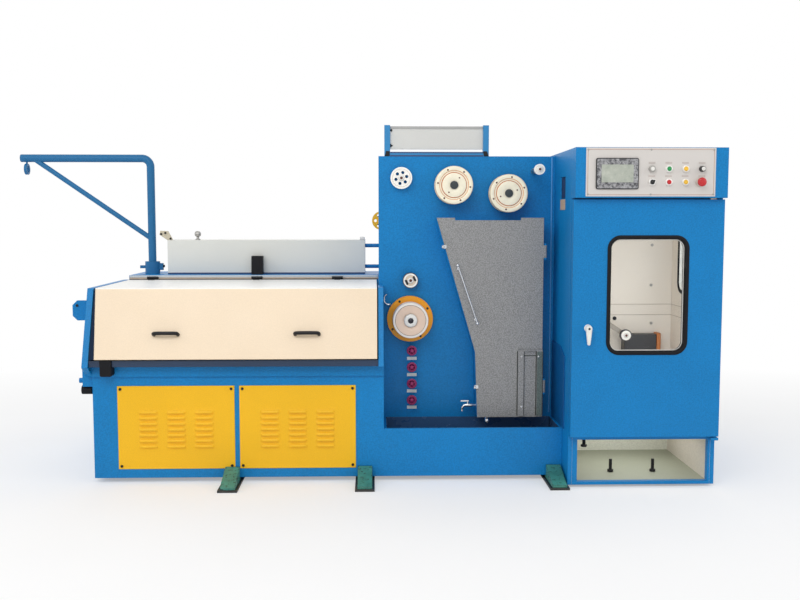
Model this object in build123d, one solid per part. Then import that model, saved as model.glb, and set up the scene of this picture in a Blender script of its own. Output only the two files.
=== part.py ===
"""Wire drawing machine with annealer and spooler, as an assembly of separate pieces.

Frame: +X to the machine's right, the operator's front faces -Y, +Z up, millimetres.
The origin is on the floor, under the middle of the whole machine's box.
"""
import math
import os

from build123d import *

# Lengths along X, from the tip of the swing arm to the right side of the spooler cabinet
arm_reach = 700.0
post_inset = 90.0
drawing_length = 1335.0
annealer_width = 867.0
cabinet_width = 680.0
step_overhang = 22.0

# Depths along Y, from the cap of the emergency button to the rear foot plates
button_reach = 45.0
header_proud = 30.0
base_setback = 185.0
base_depth = 1095.0
foot_reach = 185.0
panel_setback = 450.0
door_thickness = 40.0
door_gap = 8.0
hinge_setback = 880.0
gearbox_gap = 13.0
service_setback = 107.0
post_setback = 157.0
spool_depth = 680.0

# Heights above the floor
foot_plate = 10.0
base_bottom = 22.0
rim_top = 250.0
base_top = 556.0
band_height = 52.0
lid_gap = 36.0
lid_rise = 320.0
deck_step = 23.0
panel_top = 1541.0
board_height = 150.0
cabinet_bottom = 12.0
cabinet_top = 1550.0
door_bottom = 245.0
header_height = 222.0
arm_height = 1566.0

# Wall thicknesses and clearances
band_proud = 12.0
side_plate = 28.0
lid_sheet = 4.0
panel_plate = 12.0
chamber_sheet = 6.0
tray_sheet = 4.0
wall = 20.0
shelf = 15.0
moving_gap = 6.0
shaft_gap = 0.05
seat_gap = 0.3

# Places along X that follow from the lengths
overall_length = arm_reach - post_inset + drawing_length + annealer_width + cabinet_width
arm_tip = -overall_length / 2
post_x = arm_tip + arm_reach
base_left = post_x - post_inset
panel_left = base_left + drawing_length
step_x = panel_left + step_overhang
cabinet_left = panel_left + annealer_width
cabinet_right = cabinet_left + cabinet_width

# Places along Y that follow from the depths
overall_depth = button_reach + header_proud + base_setback + base_depth + foot_reach
header_front = button_reach - overall_depth / 2
door_front = header_front + header_proud
base_front = door_front + base_setback
base_rear = base_front + base_depth
panel_front = door_front + panel_setback
panel_back = panel_front + panel_plate
frame_front = door_front + door_thickness + door_gap
hinge_y = door_front + hinge_setback
gearbox_front = hinge_y + gearbox_gap
service_front = gearbox_front + service_setback
post_y = gearbox_front + post_setback
spool_back = door_front + spool_depth

# Places along Z that follow from the heights
band_bottom = base_top - band_height
lid_bottom = base_top + lid_gap
lid_top = lid_bottom + lid_rise
deck_top = lid_top + deck_step
board_top = panel_top + board_height
header_bottom = cabinet_top - header_height

os.makedirs("parts", exist_ok=True)


def save(name, *solids):
    """Write one node, made of one or more solids, to its own file."""
    shape = solids[0] if len(solids) == 1 else Compound(children=list(solids))
    export_step(shape, f"parts/{name}.step")


def block(x0, x1, y0, y1, z0, z1):
    """Box between two corners."""
    middle = Pos((x0 + x1) / 2, (y0 + y1) / 2, (z0 + z1) / 2)
    return middle * Box(x1 - x0, y1 - y0, z1 - z0)


def rod_y(x, z, y0, y1, radius):
    """Round bar along Y from y0 to y1."""
    return Pos(x, (y0 + y1) / 2, z) * Rot(90, 0, 0) * Cylinder(radius, y1 - y0)


def rod_z(x, y, z0, z1, radius):
    """Round bar along Z from z0 to z1."""
    return Pos(x, y, (z0 + z1) / 2) * Cylinder(radius, z1 - z0)


def rod_x(y, z, x0, x1, radius):
    """Round bar along X from x0 to x1."""
    return Pos((x0 + x1) / 2, y, z) * Rot(0, 90, 0) * Cylinder(radius, x1 - x0)


def plate_xz(outline, y0, y1):
    """Plate with an outline of (x, z) points, from y0 back to y1."""
    face = make_face(Polyline(*[(x, y0, z) for x, z in outline], close=True))
    return extrude(face, amount=y1 - y0, dir=(0, 1, 0))


def plate_yz(outline, x0, x1):
    """Plate with an outline of (y, z) points, from x0 to x1."""
    face = make_face(Polyline(*[(x0, y, z) for y, z in outline], close=True))
    return extrude(face, amount=x1 - x0, dir=(1, 0, 0))


def turned(x, z, profile):
    """Solid turned about an axis along Y through (x, z), from (radius, y) points."""
    face = make_face(Polyline(*[(x + radius, y, z) for radius, y in profile], close=True))
    return revolve(face, axis=Axis((x, 0, z), (0, 1, 0)))


def round_window(x, z, width, height, radius, y0, y1):
    """Slab with rounded corners, centred on (x, z), from y0 back to y1."""
    outline = Plane((x, y0, z), x_dir=(1, 0, 0), z_dir=(0, 1, 0))
    return extrude(outline * RectangleRounded(width, height, radius), amount=y1 - y0)


def around(x, z, radius, count, start=0.0):
    """Points evenly spaced on a circle in the XZ plane, the first at the start angle in degrees."""
    angles = [math.radians(start + 360.0 * i / count) for i in range(count)]
    return [(x + radius * math.cos(a), z + radius * math.sin(a)) for a in angles]


# Welded base: the drawing section's closed housing, and the lower annealer base with its sump
sump_wall = 12.0
sump_floor = 160.0

drawing_base = block(base_left, panel_left, base_front, base_rear, base_bottom, base_top)
drawing_base += block(panel_left, step_x, base_front, panel_front, base_bottom, base_top)
front_band = block(base_left, step_x, base_front - band_proud, base_front, band_bottom, base_top)
annealer_base = block(panel_left, cabinet_left, base_front, base_rear, base_bottom, rim_top)
sump = block(step_x + sump_wall, cabinet_left - sump_wall, base_front + sump_wall, panel_front,
             sump_floor, rim_top)
save("base_frame", drawing_base + front_band + (annealer_base - sump))

# Dark tray that lines the sump and catches what drips from the annealer panel
tray_box = block(step_x + sump_wall, cabinet_left - sump_wall, base_front + sump_wall, panel_front,
                 sump_floor, rim_top)
tray_inside = block(step_x + sump_wall + tray_sheet, cabinet_left - sump_wall - tray_sheet,
                    base_front + sump_wall + tray_sheet, panel_front - tray_sheet,
                    sump_floor + tray_sheet, rim_top)
save("drip_tray", tray_box - tray_inside)

# Two louvred covers on the front of the drawing base
cover_left_margin = 113.0
cover_right_margin = 110.0
cover_foot_margin = 42.0
cover_head_margin = 45.0
cover_gap = 22.0
cover_sheet = 3.0
louvre_columns = 3
louvre_rows = 7
louvre_length = 85.0
louvre_height = 11.0
louvre_lip = 4.4
louvre_proud = 6.0
louvre_column_pitch = 130.0
louvre_row_pitch = 27.0
louvre_drop = 6.5
hood_sheet = 1.5
cover_width = (drawing_length - cover_left_margin - cover_gap - cover_right_margin) / 2
cover_bottom = base_bottom + cover_foot_margin
cover_top = band_bottom - cover_head_margin
louvre_middle = (cover_bottom + cover_top) / 2 - louvre_drop


def louvred_cover(left):
    """Sheet cover with hooded air slots, open at their lower edge."""
    cover = block(left, left + cover_width, base_front - cover_sheet, base_front,
                  cover_bottom, cover_top)
    face = base_front - cover_sheet
    half = louvre_length / 2
    for column in range(louvre_columns):
        middle = left + cover_width / 2 + (column - (louvre_columns - 1) / 2) * louvre_column_pitch
        for row in range(louvre_rows):
            top = louvre_middle + (row - (louvre_rows - 1) / 2) * louvre_row_pitch + louvre_height
            hood = [(face, top), (face - louvre_proud, top - louvre_height + louvre_lip),
                    (face - louvre_proud, top - louvre_height), (face, top - louvre_height)]
            lip_y = face - louvre_proud + hood_sheet
            inside = [(base_front, top - hood_sheet), (face, top - hood_sheet),
                      (lip_y, top - louvre_height + louvre_lip), (lip_y, top - louvre_height),
                      (base_front, top - louvre_height)]
            cover += plate_yz(hood, middle - half, middle + half)
            cover -= plate_yz(inside, middle - half + hood_sheet, middle + half - hood_sheet)
    return cover


first_cover = base_left + cover_left_margin
save("louvred_panels", louvred_cover(first_cover), louvred_cover(first_cover + cover_width + cover_gap))

# Six wedge feet, three along the front and three mirrored along the rear
wedge_width = 68.0
wedge_height = 74.0
wedge_tip = 20.0
wedge_tongue = 120.0
wedge_stand_off = 6.0
foot_plate_width = 90.0
foot_plate_margin = 8.0
left_foot_inset = 645.0
middle_foot_inset = 67.0
right_foot_inset = 42.0
feet_x = [base_left + left_foot_inset, panel_left - middle_foot_inset, cabinet_left - right_foot_inset]

wedges = []
plates = []
for foot_x in feet_x:
    for edge_y, outward in ((base_front, -1.0), (base_rear, 1.0)):
        tip_y = edge_y + outward * (foot_reach - foot_plate_margin)
        inner_y = edge_y - outward * wedge_tongue
        crest_y = edge_y + outward * wedge_stand_off
        outline = [(tip_y, foot_plate), (tip_y, wedge_tip), (crest_y, wedge_height), (crest_y, base_bottom),
                   (inner_y, base_bottom), (inner_y, foot_plate)]
        wedges.append(plate_yz(outline, foot_x - wedge_width / 2, foot_x + wedge_width / 2))
        plate_ends = sorted((edge_y + outward * foot_reach, inner_y))
        plates.append(block(foot_x - foot_plate_width / 2, foot_x + foot_plate_width / 2,
                            plate_ends[0], plate_ends[1], 0, foot_plate))
save("foot_wedges", *wedges)
save("foot_plates", *plates)

# Drawing chamber on the base: side plates, oil bath, gearbox behind it and the drawing cones
lid_overhang = 70.0
lid_lean = 127.0
bath_inset = 15.0
bath_floor = 6.0
bath_wall_height = 30.0
right_plate = 24.0
right_plate_gap = 1.0
lid_foot = base_front - lid_overhang
lid_brow = lid_foot + lid_lean
right_plate_left = step_x - right_plate - right_plate_gap

left_outline = [(base_front, band_bottom), (lid_foot, base_top), (lid_brow, lid_top),
                (gearbox_front, lid_top), (gearbox_front, band_bottom)]
right_outline = [(lid_foot, base_top), (lid_brow, lid_top), (panel_front, lid_top), (panel_front, base_top)]
save("chamber_sides",
     plate_yz(left_outline, base_left - side_plate, base_left),
     plate_yz(right_outline, right_plate_left, right_plate_left + right_plate))

bath = block(base_left, right_plate_left, lid_foot + bath_inset, gearbox_front,
             base_top, base_top + bath_wall_height)
bath_inside = block(base_left + tray_sheet, right_plate_left - tray_sheet,
                    lid_foot + bath_inset + tray_sheet, gearbox_front - tray_sheet,
                    base_top + bath_floor, base_top + bath_wall_height)
save("oil_bath", bath - bath_inside)

save("gearbox_housing", block(base_left, panel_left, gearbox_front, base_rear, base_top, deck_top))

cone_count = 4
cone_steps = 5
cone_step_length = 42.0
cone_hub = 35.0
cone_tip_radius = 62.0
cone_clearance = 51.0
cone_floor = base_top + bath_wall_height
cone_roof = lid_top - lid_sheet
cone_height = (cone_floor + cone_roof) / 2
cone_root_radius = (cone_roof - cone_floor) / 2 - cone_clearance
cone_step_drop = (cone_root_radius - cone_tip_radius) / (cone_steps - 1)
cone_pitch = (right_plate_left - base_left) / cone_count

cones = []
for cone in range(cone_count):
    cone_x = base_left + cone_pitch * (cone + 0.5)
    outline = [(0, gearbox_front), (cone_hub, gearbox_front), (cone_hub, gearbox_front - cone_hub)]
    for step in range(cone_steps):
        step_radius = cone_root_radius - step * cone_step_drop
        step_back = gearbox_front - cone_hub - step * cone_step_length
        outline += [(step_radius, step_back), (step_radius, step_back - cone_step_length)]
    outline.append((0, outline[-1][1]))
    cones.append(turned(cone_x, cone_height, outline))
save("drawing_cones", *cones)

# Lid of the drawing chamber: a folded sheet with closed ends, hinged along the gearbox
lid_end_gap = 6.0
lid_rear_gap = 12.0
lid_left = base_left + lid_end_gap
lid_right = right_plate_left - lid_end_gap
lid_rear = hinge_y - lid_rear_gap
front_slope = lid_lean / lid_rise
front_length = math.hypot(lid_lean, lid_rise)
front_shift = lid_sheet * front_length / lid_rise

lid_outline = [(lid_foot, lid_bottom), (lid_brow, lid_top), (lid_rear, lid_top), (lid_rear, lid_bottom)]
lid_hollow = [(lid_foot + front_shift, lid_bottom),
              (lid_brow + front_shift - lid_sheet * front_slope, lid_top - lid_sheet),
              (lid_rear, lid_top - lid_sheet), (lid_rear, lid_bottom)]
save("lid", plate_yz(lid_outline, lid_left, lid_right)
     - plate_yz(lid_hollow, lid_left + lid_sheet, lid_right - lid_sheet))

# Hinges of the lid: outer knuckles with their pin on the gearbox, middle knuckle and leaf on the lid
knuckle_radius = 8.0
pin_radius = 4.0
middle_knuckle = 30.0
outer_knuckle = 14.0
leaf_length = 42.0
leaf_sheet = 3.0
hinge_lift = 1.0
left_hinge_inset = 128.0
middle_hinge_inset = 684.0
right_hinge_inset = 220.0
hinge_z = lid_top + knuckle_radius + hinge_lift
hinges_x = [base_left + left_hinge_inset, base_left + middle_hinge_inset, panel_left - right_hinge_inset]

fixed_knuckles = []
lid_leaves = []
for hinge_x in hinges_x:
    half = middle_knuckle / 2
    end = half + seat_gap + outer_knuckle
    knuckles = rod_x(hinge_y, hinge_z, hinge_x - end, hinge_x + end, pin_radius - shaft_gap)
    for side in (-1.0, 1.0):
        x0, x1 = sorted((hinge_x + side * (half + seat_gap), hinge_x + side * end))
        knuckles += rod_x(hinge_y, hinge_z, x0, x1, knuckle_radius)
        knuckles += block(x0, x1, hinge_y, gearbox_front, hinge_z - pin_radius, hinge_z + pin_radius)
    fixed_knuckles.append(knuckles)
    leaf = block(hinge_x - half, hinge_x + half, hinge_y - leaf_length, hinge_y, lid_top, lid_top + leaf_sheet)
    leaf += rod_x(hinge_y, hinge_z, hinge_x - half, hinge_x + half, knuckle_radius)
    lid_leaves.append(leaf - rod_x(hinge_y, hinge_z, hinge_x - half, hinge_x + half, pin_radius))
save("lid_hinges", *fixed_knuckles)

# Two pull handles on the sloping front of the lid
pull_length = 124.0
pull_bar = 14.0
pull_reach = 34.0
pull_foot = 18.0
pull_rise = 110.0
left_pull_inset = 351.0
right_pull_inset = 334.0
pull_height = lid_bottom + pull_rise
pulls_x = [base_left + left_pull_inset, panel_left - right_pull_inset]

pulls = []
for pull_x in pulls_x:
    pull_y = lid_foot + pull_rise * front_slope
    seat = Plane((pull_x, pull_y, pull_height), x_dir=(1, 0, 0), z_dir=(0, -lid_rise, lid_lean))
    bow = Pos(0, 0, pull_reach / 2) * Box(pull_length, pull_bar, pull_reach)
    finger = Pos(0, 0, (pull_reach - pull_bar) / 2) * Box(pull_length - 2 * pull_foot, pull_bar,
                                                         pull_reach - pull_bar)
    pulls.append(seat * (bow - finger))
save("lid_fittings", *lid_leaves, *pulls)

# On the gearbox deck: service box, its small fittings, rubber stop for the lid and conduits
service_left_inset = 184.0
service_right_inset = 72.0
service_depth = 250.0
service_height = 186.0
service_left = base_left + service_left_inset
service_right = panel_left - service_right_inset
service_top = deck_top + service_height
flap_foot = 20.0
flap_rise = 50.0
flap_sheet = 10.0
flap_depth = 60.0
fitting_offset = 128.0
fitting_setback = 36.0
fitting_radius = 12.0
fitting_height = 44.0
lug_size = 22.0
lug_length = 44.0
stop_width = 60.0
stop_depth = 60.0
stop_height = 100.0
stop_lean = 12.0
stop_offset = 492.0
conduit_radius = 10.5
lower_conduit = 40.0
upper_conduit = 155.0
conduit_setback = 40.0
conduits_z = [deck_top + lower_conduit, deck_top + upper_conduit]

save("service_box", block(service_left, service_right, service_front, service_front + service_depth,
                          deck_top, service_top))

flap_outline = [(service_left, service_top), (service_left + flap_foot, service_top),
                (service_left + flap_foot - flap_rise, service_top + flap_rise),
                (service_left + flap_foot - flap_rise - flap_sheet, service_top + flap_rise - flap_sheet)]
lug_x = service_right - lug_length
save("service_fittings",
     plate_xz(flap_outline, service_front, service_front + flap_depth),
     rod_z(service_left + fitting_offset, service_front + fitting_setback,
           service_top, service_top + fitting_height, fitting_radius),
     block(lug_x, service_right, service_front, service_front + lug_size,
           service_top, service_top + lug_size))

stop_left = service_left + stop_offset - stop_width / 2
stop_outline = [(service_front, deck_top), (service_front - stop_depth, deck_top),
                (service_front - stop_depth + stop_lean, deck_top + stop_height),
                (service_front, deck_top + stop_height)]
save("rubber_stop", plate_yz(stop_outline, stop_left, stop_left + stop_width))

# Swing arm for the incoming wire: post in a clamp socket, bent arm and brace in one weldment
pipe_radius = 21.0
brace_radius = 13.5
bend_radius = 45.0
brace_rise = 191.0
brace_margin = 65.0
socket_radius = 40.0
socket_height = 68.0
clamp_reach = 58.0
clamp_width = 24.0
clamp_foot = 20.0
clamp_head = 10.0
lever_reach = 67.5
lever_width = 16.0
lever_foot = 30.0
lever_height = 16.0
eye_radius = 30.0
eye_bore = 18.0
eye_width = 14.0
eye_stem = 5.0
eye_drop = 38.0

socket = rod_z(post_x, post_y, deck_top, deck_top + socket_height, socket_radius)
socket += block(post_x, post_x + clamp_reach, post_y - clamp_width / 2, post_y + clamp_width / 2,
                deck_top + clamp_foot, deck_top + socket_height - clamp_head)
socket += block(post_x - lever_reach, post_x, post_y - lever_width / 2, post_y + lever_width / 2,
                deck_top + lever_foot, deck_top + lever_foot + lever_height)
socket -= rod_z(post_x, post_y, deck_top, deck_top + socket_height, pipe_radius + shaft_gap)
save("arm_socket", socket)

post_foot = (post_x, post_y, deck_top + seat_gap)
arm_path = FilletPolyline(post_foot, (post_x, post_y, arm_height), (arm_tip, post_y, arm_height),
                          radius=bend_radius)
arm = sweep(Plane(post_foot, z_dir=(0, 0, 1)) * Circle(pipe_radius), path=arm_path)
brace_start = Vector(post_x, post_y, deck_top + brace_rise)
brace_end = Vector(arm_tip + brace_margin, post_y, arm_height)
brace_run = brace_end - brace_start
arm += extrude(Plane(brace_start, z_dir=brace_run) * Circle(brace_radius), amount=brace_run.length)
eye_x = arm_tip + eye_radius
eye_z = arm_height - pipe_radius - eye_drop
arm += rod_z(eye_x, post_y, eye_z + (eye_radius + eye_bore) / 2, arm_height, eye_stem)
arm += (rod_x(post_y, eye_z, eye_x - eye_width / 2, eye_x + eye_width / 2, eye_radius)
        - rod_x(post_y, eye_z, eye_x - eye_width / 2, eye_x + eye_width / 2, eye_bore))
save("swing_arm", arm)

# Brackets on the left end of the drawing section
ear_reach = 90.0
ear_rise = 199.0
ear_height = 95.0
ear_clip = 22.0
ear_sheet = 12.0
ear_setback = 300.0
bracket_reach = 50.0
bracket_drop = 50.0
bracket_rise = 16.0
bracket_setback = 200.0
bracket_depth = 60.0
spigot_radius = 12.0
spigot_length = 22.0
plate_out = base_left - side_plate
ear_bottom = base_top + ear_rise
bracket_bottom = band_bottom - bracket_drop
bracket_top = base_top + bracket_rise

ear_outline = [(plate_out, ear_bottom), (plate_out, ear_bottom + ear_height),
               (plate_out - ear_reach + ear_clip, ear_bottom + ear_height),
               (plate_out - ear_reach, ear_bottom + ear_height - ear_clip),
               (plate_out - ear_reach, ear_bottom + ear_clip),
               (plate_out - ear_reach + ear_clip, ear_bottom)]
ear_y = door_front + ear_setback
bracket_outline = [(base_left, bracket_bottom), (base_left, band_bottom), (plate_out, band_bottom),
                   (plate_out, bracket_top), (base_left - bracket_reach, bracket_top),
                   (base_left - bracket_reach, bracket_bottom)]
bracket_y = door_front + bracket_setback
spigot_z = (bracket_bottom + band_bottom) / 2
spigot_end = base_left - bracket_reach - spigot_length
save("end_brackets",
     plate_xz(ear_outline, ear_y, ear_y + ear_sheet),
     plate_xz(bracket_outline, bracket_y, bracket_y + bracket_depth)
     + rod_x(bracket_y + bracket_depth / 2, spigot_z, spigot_end, base_left - bracket_reach, spigot_radius))

# Annealer: closed housing, its front panel and the board on its top edge
upper_inset = 127.0
upper_depth = 690.0
board_inset = 29.0
board_length = 511.0
board_post = 28.0
board_post_depth = 30.0
board_bar = 21.0
board_margin = 5.0
board_lift = 13.0
board_sheet = 10.0
rear_inset = 18.0
rear_rise = 292.0
rear_setback = 585.0
rear_bracket = 12.0
rear_bracket_half = 25.0
upper_left = panel_left + upper_inset
rear_x = panel_left + rear_inset
rear_z = deck_top + rear_rise
rear_root = panel_back + rear_setback

save("annealer_housing",
     block(panel_left, cabinet_left, panel_back, base_rear, rim_top, deck_top)
     + block(upper_left, cabinet_left, panel_back, panel_back + upper_depth, deck_top, panel_top)
     + block(rear_x - rear_bracket_half, upper_left, rear_root, rear_root + rear_bracket,
             rear_z - rear_bracket_half, rear_z + rear_bracket_half))
save("annealer_panel", block(panel_left, cabinet_left, panel_front, panel_back, rim_top, panel_top))

conduit_y = service_front + conduit_setback
save("conduits", *[rod_x(conduit_y, z, service_right, upper_left, conduit_radius) for z in conduits_z])

board_left = panel_left + board_inset
board_right = board_left + board_length
board_back = panel_front + board_post_depth
bar_top = panel_top + board_bar
board_frame = block(board_left, board_right, panel_front, board_back, panel_top, bar_top)
board_frame += block(board_left, board_left + board_post, panel_front, board_back, bar_top, board_top)
board_frame += block(board_right - board_post, board_right, panel_front, board_back, bar_top, board_top)
save("board_frame", board_frame)
save("top_board", block(board_left + board_post, board_right - board_post,
                        panel_front + board_sheet, panel_front + 2 * board_sheet,
                        bar_top + board_lift, board_top - board_margin))

# Annealing chamber: an open-fronted box on the panel, with a hinged door of the same outline
chamber_depth = 120.0
chamber_right_gap = 75.0
chamber_width = 515.0
chamber_foot_width = 315.0
chamber_knee_width = 327.0
chamber_drop = 312.0
chamber_rise = 24.0
chamber_knee_rise = 320.0
chamber_right = cabinet_left - chamber_right_gap
chamber_left = chamber_right - chamber_width
chamber_foot = chamber_right - chamber_foot_width
chamber_knee = chamber_right - chamber_knee_width
chamber_top = panel_top - chamber_drop
chamber_bottom = rim_top + chamber_rise
chamber_knee_height = chamber_bottom + chamber_knee_rise
tab_height = 12.0
left_tab = 88.0
right_tab = 110.0
chamber_front = panel_front - chamber_depth
shield_back = chamber_front - moving_gap
shield_front = shield_back - chamber_sheet

chamber_outline = [(chamber_left, chamber_top), (chamber_right, chamber_top), (chamber_right, chamber_bottom),
                   (chamber_foot, chamber_bottom), (chamber_knee, chamber_knee_height)]
chamber_face = make_face(Polyline(*[(x, chamber_front, z) for x, z in chamber_outline], close=True))
chamber_hole = offset(chamber_face, amount=-chamber_sheet, kind=Kind.INTERSECTION)

# Hinge of the chamber door: two barrels on the door, pins and lugs on the chamber's right wall
barrel_radius = 7.0
barrel_length = 60.0
barrel_pin = 4.0
lug_height = 8.0
lug_gap = 3.0
barrel_inset = 150.0
barrels_z = [chamber_bottom + barrel_inset, chamber_top - barrel_inset]
swing_x = chamber_right + barrel_radius + lug_gap
swing_y = shield_front + barrel_radius

lugs = []
barrels = []
for middle_z in barrels_z:
    half = barrel_length / 2
    low = middle_z - half - seat_gap
    high = middle_z + half + seat_gap
    lug = rod_z(swing_x, swing_y, low, high, barrel_pin - shaft_gap)
    for z0 in (low - lug_height, high):
        lug += rod_z(swing_x, swing_y, z0, z0 + lug_height, barrel_radius)
        lug += block(chamber_right, swing_x + barrel_radius, swing_y, panel_front, z0, z0 + lug_height)
    lugs.append(lug)
    barrels.append(rod_z(swing_x, swing_y, middle_z - half, middle_z + half, barrel_radius)
                   - rod_z(swing_x, swing_y, middle_z - half, middle_z + half, barrel_pin))
chamber = extrude(chamber_face - chamber_hole, amount=chamber_depth, dir=(0, 1, 0))
for lug in lugs:
    chamber += lug
save("annealing_chamber", chamber)

# Chamber door: sheet with a stepped top edge, and two raised rails under a cross strip at its lower right
rail_width = 28.0
rail_proud = 10.0
rail_cross = 6.0
rail_span = 119.0
rail_rise = 324.0
rail_inset = 6.0
rail_left = chamber_right - rail_span
rail_top = chamber_bottom + rail_rise
tab_top = chamber_top + tab_height

shield_outline = [(chamber_left, tab_top), (chamber_left + left_tab, tab_top),
                  (chamber_left + left_tab, chamber_top), (chamber_right - right_tab, chamber_top),
                  (chamber_right - right_tab, tab_top), (chamber_right, tab_top),
                  (chamber_right, chamber_bottom), (chamber_foot, chamber_bottom),
                  (chamber_knee, chamber_knee_height)]
shield = plate_xz(shield_outline, shield_front, shield_back)
for barrel, middle_z in zip(barrels, barrels_z):
    half = barrel_length / 2
    strap = block(chamber_right - barrel_length, swing_x, shield_front, shield_back,
                  middle_z - half, middle_z + half)
    strap -= rod_z(swing_x, swing_y, middle_z - half, middle_z + half, barrel_pin)
    shield = shield + strap + barrel
rail_bottom = chamber_bottom + rail_inset
rail_face = shield_front - rail_proud
shield += block(rail_left, rail_left + rail_width, rail_face, shield_front, rail_bottom, rail_top)
shield += block(chamber_right - rail_width, chamber_right, rail_face, shield_front, rail_bottom, rail_top)
shield += block(rail_left, chamber_right, rail_face, shield_front, rail_top, rail_top + rail_cross)
save("chamber_door", shield)

# Bright bar handle with ball ends along the door's sloping edge, and two latch clips over that edge
bar_radius = 4.0
bar_foot_radius = 3.0
bar_ball = 7.0
bar_reach = 26.0
bar_head_drop = 215.0
bar_length_drop = 279.0
bar_head_inset = 36.4
bar_foot_inset = 49.7
bar_standoff_inset = 17.7
clip_height = 18.0
clip_sheet = 5.0
clip_lap = 16.0
clip_overhang = 16.0
clip_knob = 7.0
clip_knob_height = 12.0
upper_clip_drop = 127.0
lower_clip_rise = 149.0
upper_lean = (chamber_knee - chamber_left) / (chamber_top - chamber_knee_height)
knee_lean = (chamber_foot - chamber_knee) / chamber_knee_rise
clips = [(chamber_left + upper_clip_drop * upper_lean, chamber_top - upper_clip_drop),
         (chamber_foot - lower_clip_rise * knee_lean, chamber_bottom + lower_clip_rise)]

bar_y = shield_front - bar_reach
bar_end_drop = bar_head_drop + bar_length_drop
bar_start = Vector(chamber_left + bar_head_drop * upper_lean + bar_head_inset, bar_y, chamber_top - bar_head_drop)
bar_end = Vector(chamber_left + bar_end_drop * upper_lean + bar_foot_inset, bar_y, chamber_top - bar_end_drop)
bar_run = bar_end - bar_start
bar = extrude(Plane(bar_start, z_dir=bar_run) * Circle(bar_radius), amount=bar_run.length)
for along in (bar_standoff_inset, bar_run.length - bar_standoff_inset):
    foot = bar_start + bar_run.normalized() * along
    bar += rod_y(foot.X, foot.Z, bar_y, shield_front, bar_foot_radius)
for end in (bar_start, bar_end):
    bar += Pos(end) * Sphere(bar_ball)

clip_face = shield_front - clip_sheet
latches = []
for edge_x, z in clips:
    clip = block(edge_x - clip_overhang, edge_x + clip_lap, clip_face, shield_front,
                 z - clip_height / 2, z + clip_height / 2)
    clip += rod_y(edge_x - clip_overhang / 2, z, clip_face - clip_knob_height, clip_face, clip_knob)
    latches.append(clip)
save("chamber_door_handle", bar, *latches)

# Drain tap beside the chamber and the stub of its outlet
tap_radius = 9.0
tap_rise = 46.0
tap_reach = 60.0
tap_length = 74.0
tap_stem = 5.4
tap_stem_height = 18.0
tap_lever_width = 8.0
tap_lever_sheet = 6.0
spout_drop = 30.0
spout_bend = 16.0
stub_radius = 12.0
stub_drop = 44.0
stub_offset = 56.0
tap_height = chamber_bottom + tap_rise
tap_y = panel_front - tap_reach
tap_root = chamber_foot - (tap_rise + tap_radius) * knee_lean - seat_gap
tap_end = tap_root - tap_length
stem_top = tap_height + tap_stem_height

tap_path = FilletPolyline((tap_root, tap_y, tap_height), (tap_end + tap_radius, tap_y, tap_height),
                          (tap_end + tap_radius, tap_y, tap_height - spout_drop), radius=spout_bend)
tap = sweep(Plane(tap_path @ 0, z_dir=tap_path % 0) * Circle(tap_radius), path=tap_path)
tap += rod_z(tap_end + tap_length / 2, tap_y, tap_height, stem_top, tap_stem)
tap += block(tap_end, tap_end + tap_length / 2 + tap_radius, tap_y - tap_lever_width / 2,
             tap_y + tap_lever_width / 2, stem_top, stem_top + tap_lever_sheet)
save("drain_tap", tap, rod_z(chamber_foot + stub_offset, panel_front - chamber_depth / 2,
                             chamber_bottom - stub_drop, chamber_bottom, stub_radius))

# Turning wheels on the panel: each turns on a fixed axle with a collar behind it and a cap in front
axle_collar = 8.0
cap_thickness = 4.0
cap_overlap = 6.0
axles = []


def axle(x, z, root, back, front, bore):
    """Fixed axle from its root, through a wheel that spans back to front, with collar and cap."""
    shaft = rod_y(x, z, front - cap_thickness - seat_gap, root, bore - shaft_gap)
    shaft += rod_y(x, z, back + seat_gap, root, bore + axle_collar)
    shaft += rod_y(x, z, front - seat_gap - cap_thickness, front - seat_gap, bore + cap_overlap)
    axles.append(shaft)


def wheel(x, z, root, stand_off, width, radius, bore, rim, groove):
    """Grooved wheel on its axle: flat rims at both sides and a round-bottomed groove as a vee."""
    back = root - stand_off
    front = back - width
    axle(x, z, root, back, front, bore)
    return turned(x, z, [(bore, back), (radius, back), (radius, back - rim),
                         (radius - groove, back - width / 2), (radius, front + rim), (radius, front),
                         (bore, front)])


sheave_radius = 92.0
sheave_width = 70.0
sheave_bore = 14.0
sheave_rim = 14.0
sheave_groove = 12.0
sheave_stand_off = 14.0
sheave_dish = 3.6
sheave_hub = 60.0
sheave_band = 22.0
sheave_pitch = 265.0
sheave_offset = 63.0
left_sheave_drop = 143.0
right_sheave_drop = 182.0
sheave_middle = (panel_left + cabinet_left) / 2 + sheave_offset
sheaves = {"left_sheave": (sheave_middle - sheave_pitch / 2, panel_top - left_sheave_drop),
           "right_sheave": (sheave_middle + sheave_pitch / 2, panel_top - right_sheave_drop)}
for name, (x, z) in sheaves.items():
    sheave = wheel(x, z, panel_front, sheave_stand_off, sheave_width, sheave_radius, sheave_bore,
                   sheave_rim, sheave_groove)
    face = panel_front - sheave_stand_off - sheave_width
    dish = turned(x, z, [(sheave_hub, face), (sheave_radius - sheave_band, face),
                         (sheave_radius - sheave_band, face + sheave_dish), (sheave_hub, face + sheave_dish)])
    save(name, sheave - dish)

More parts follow.
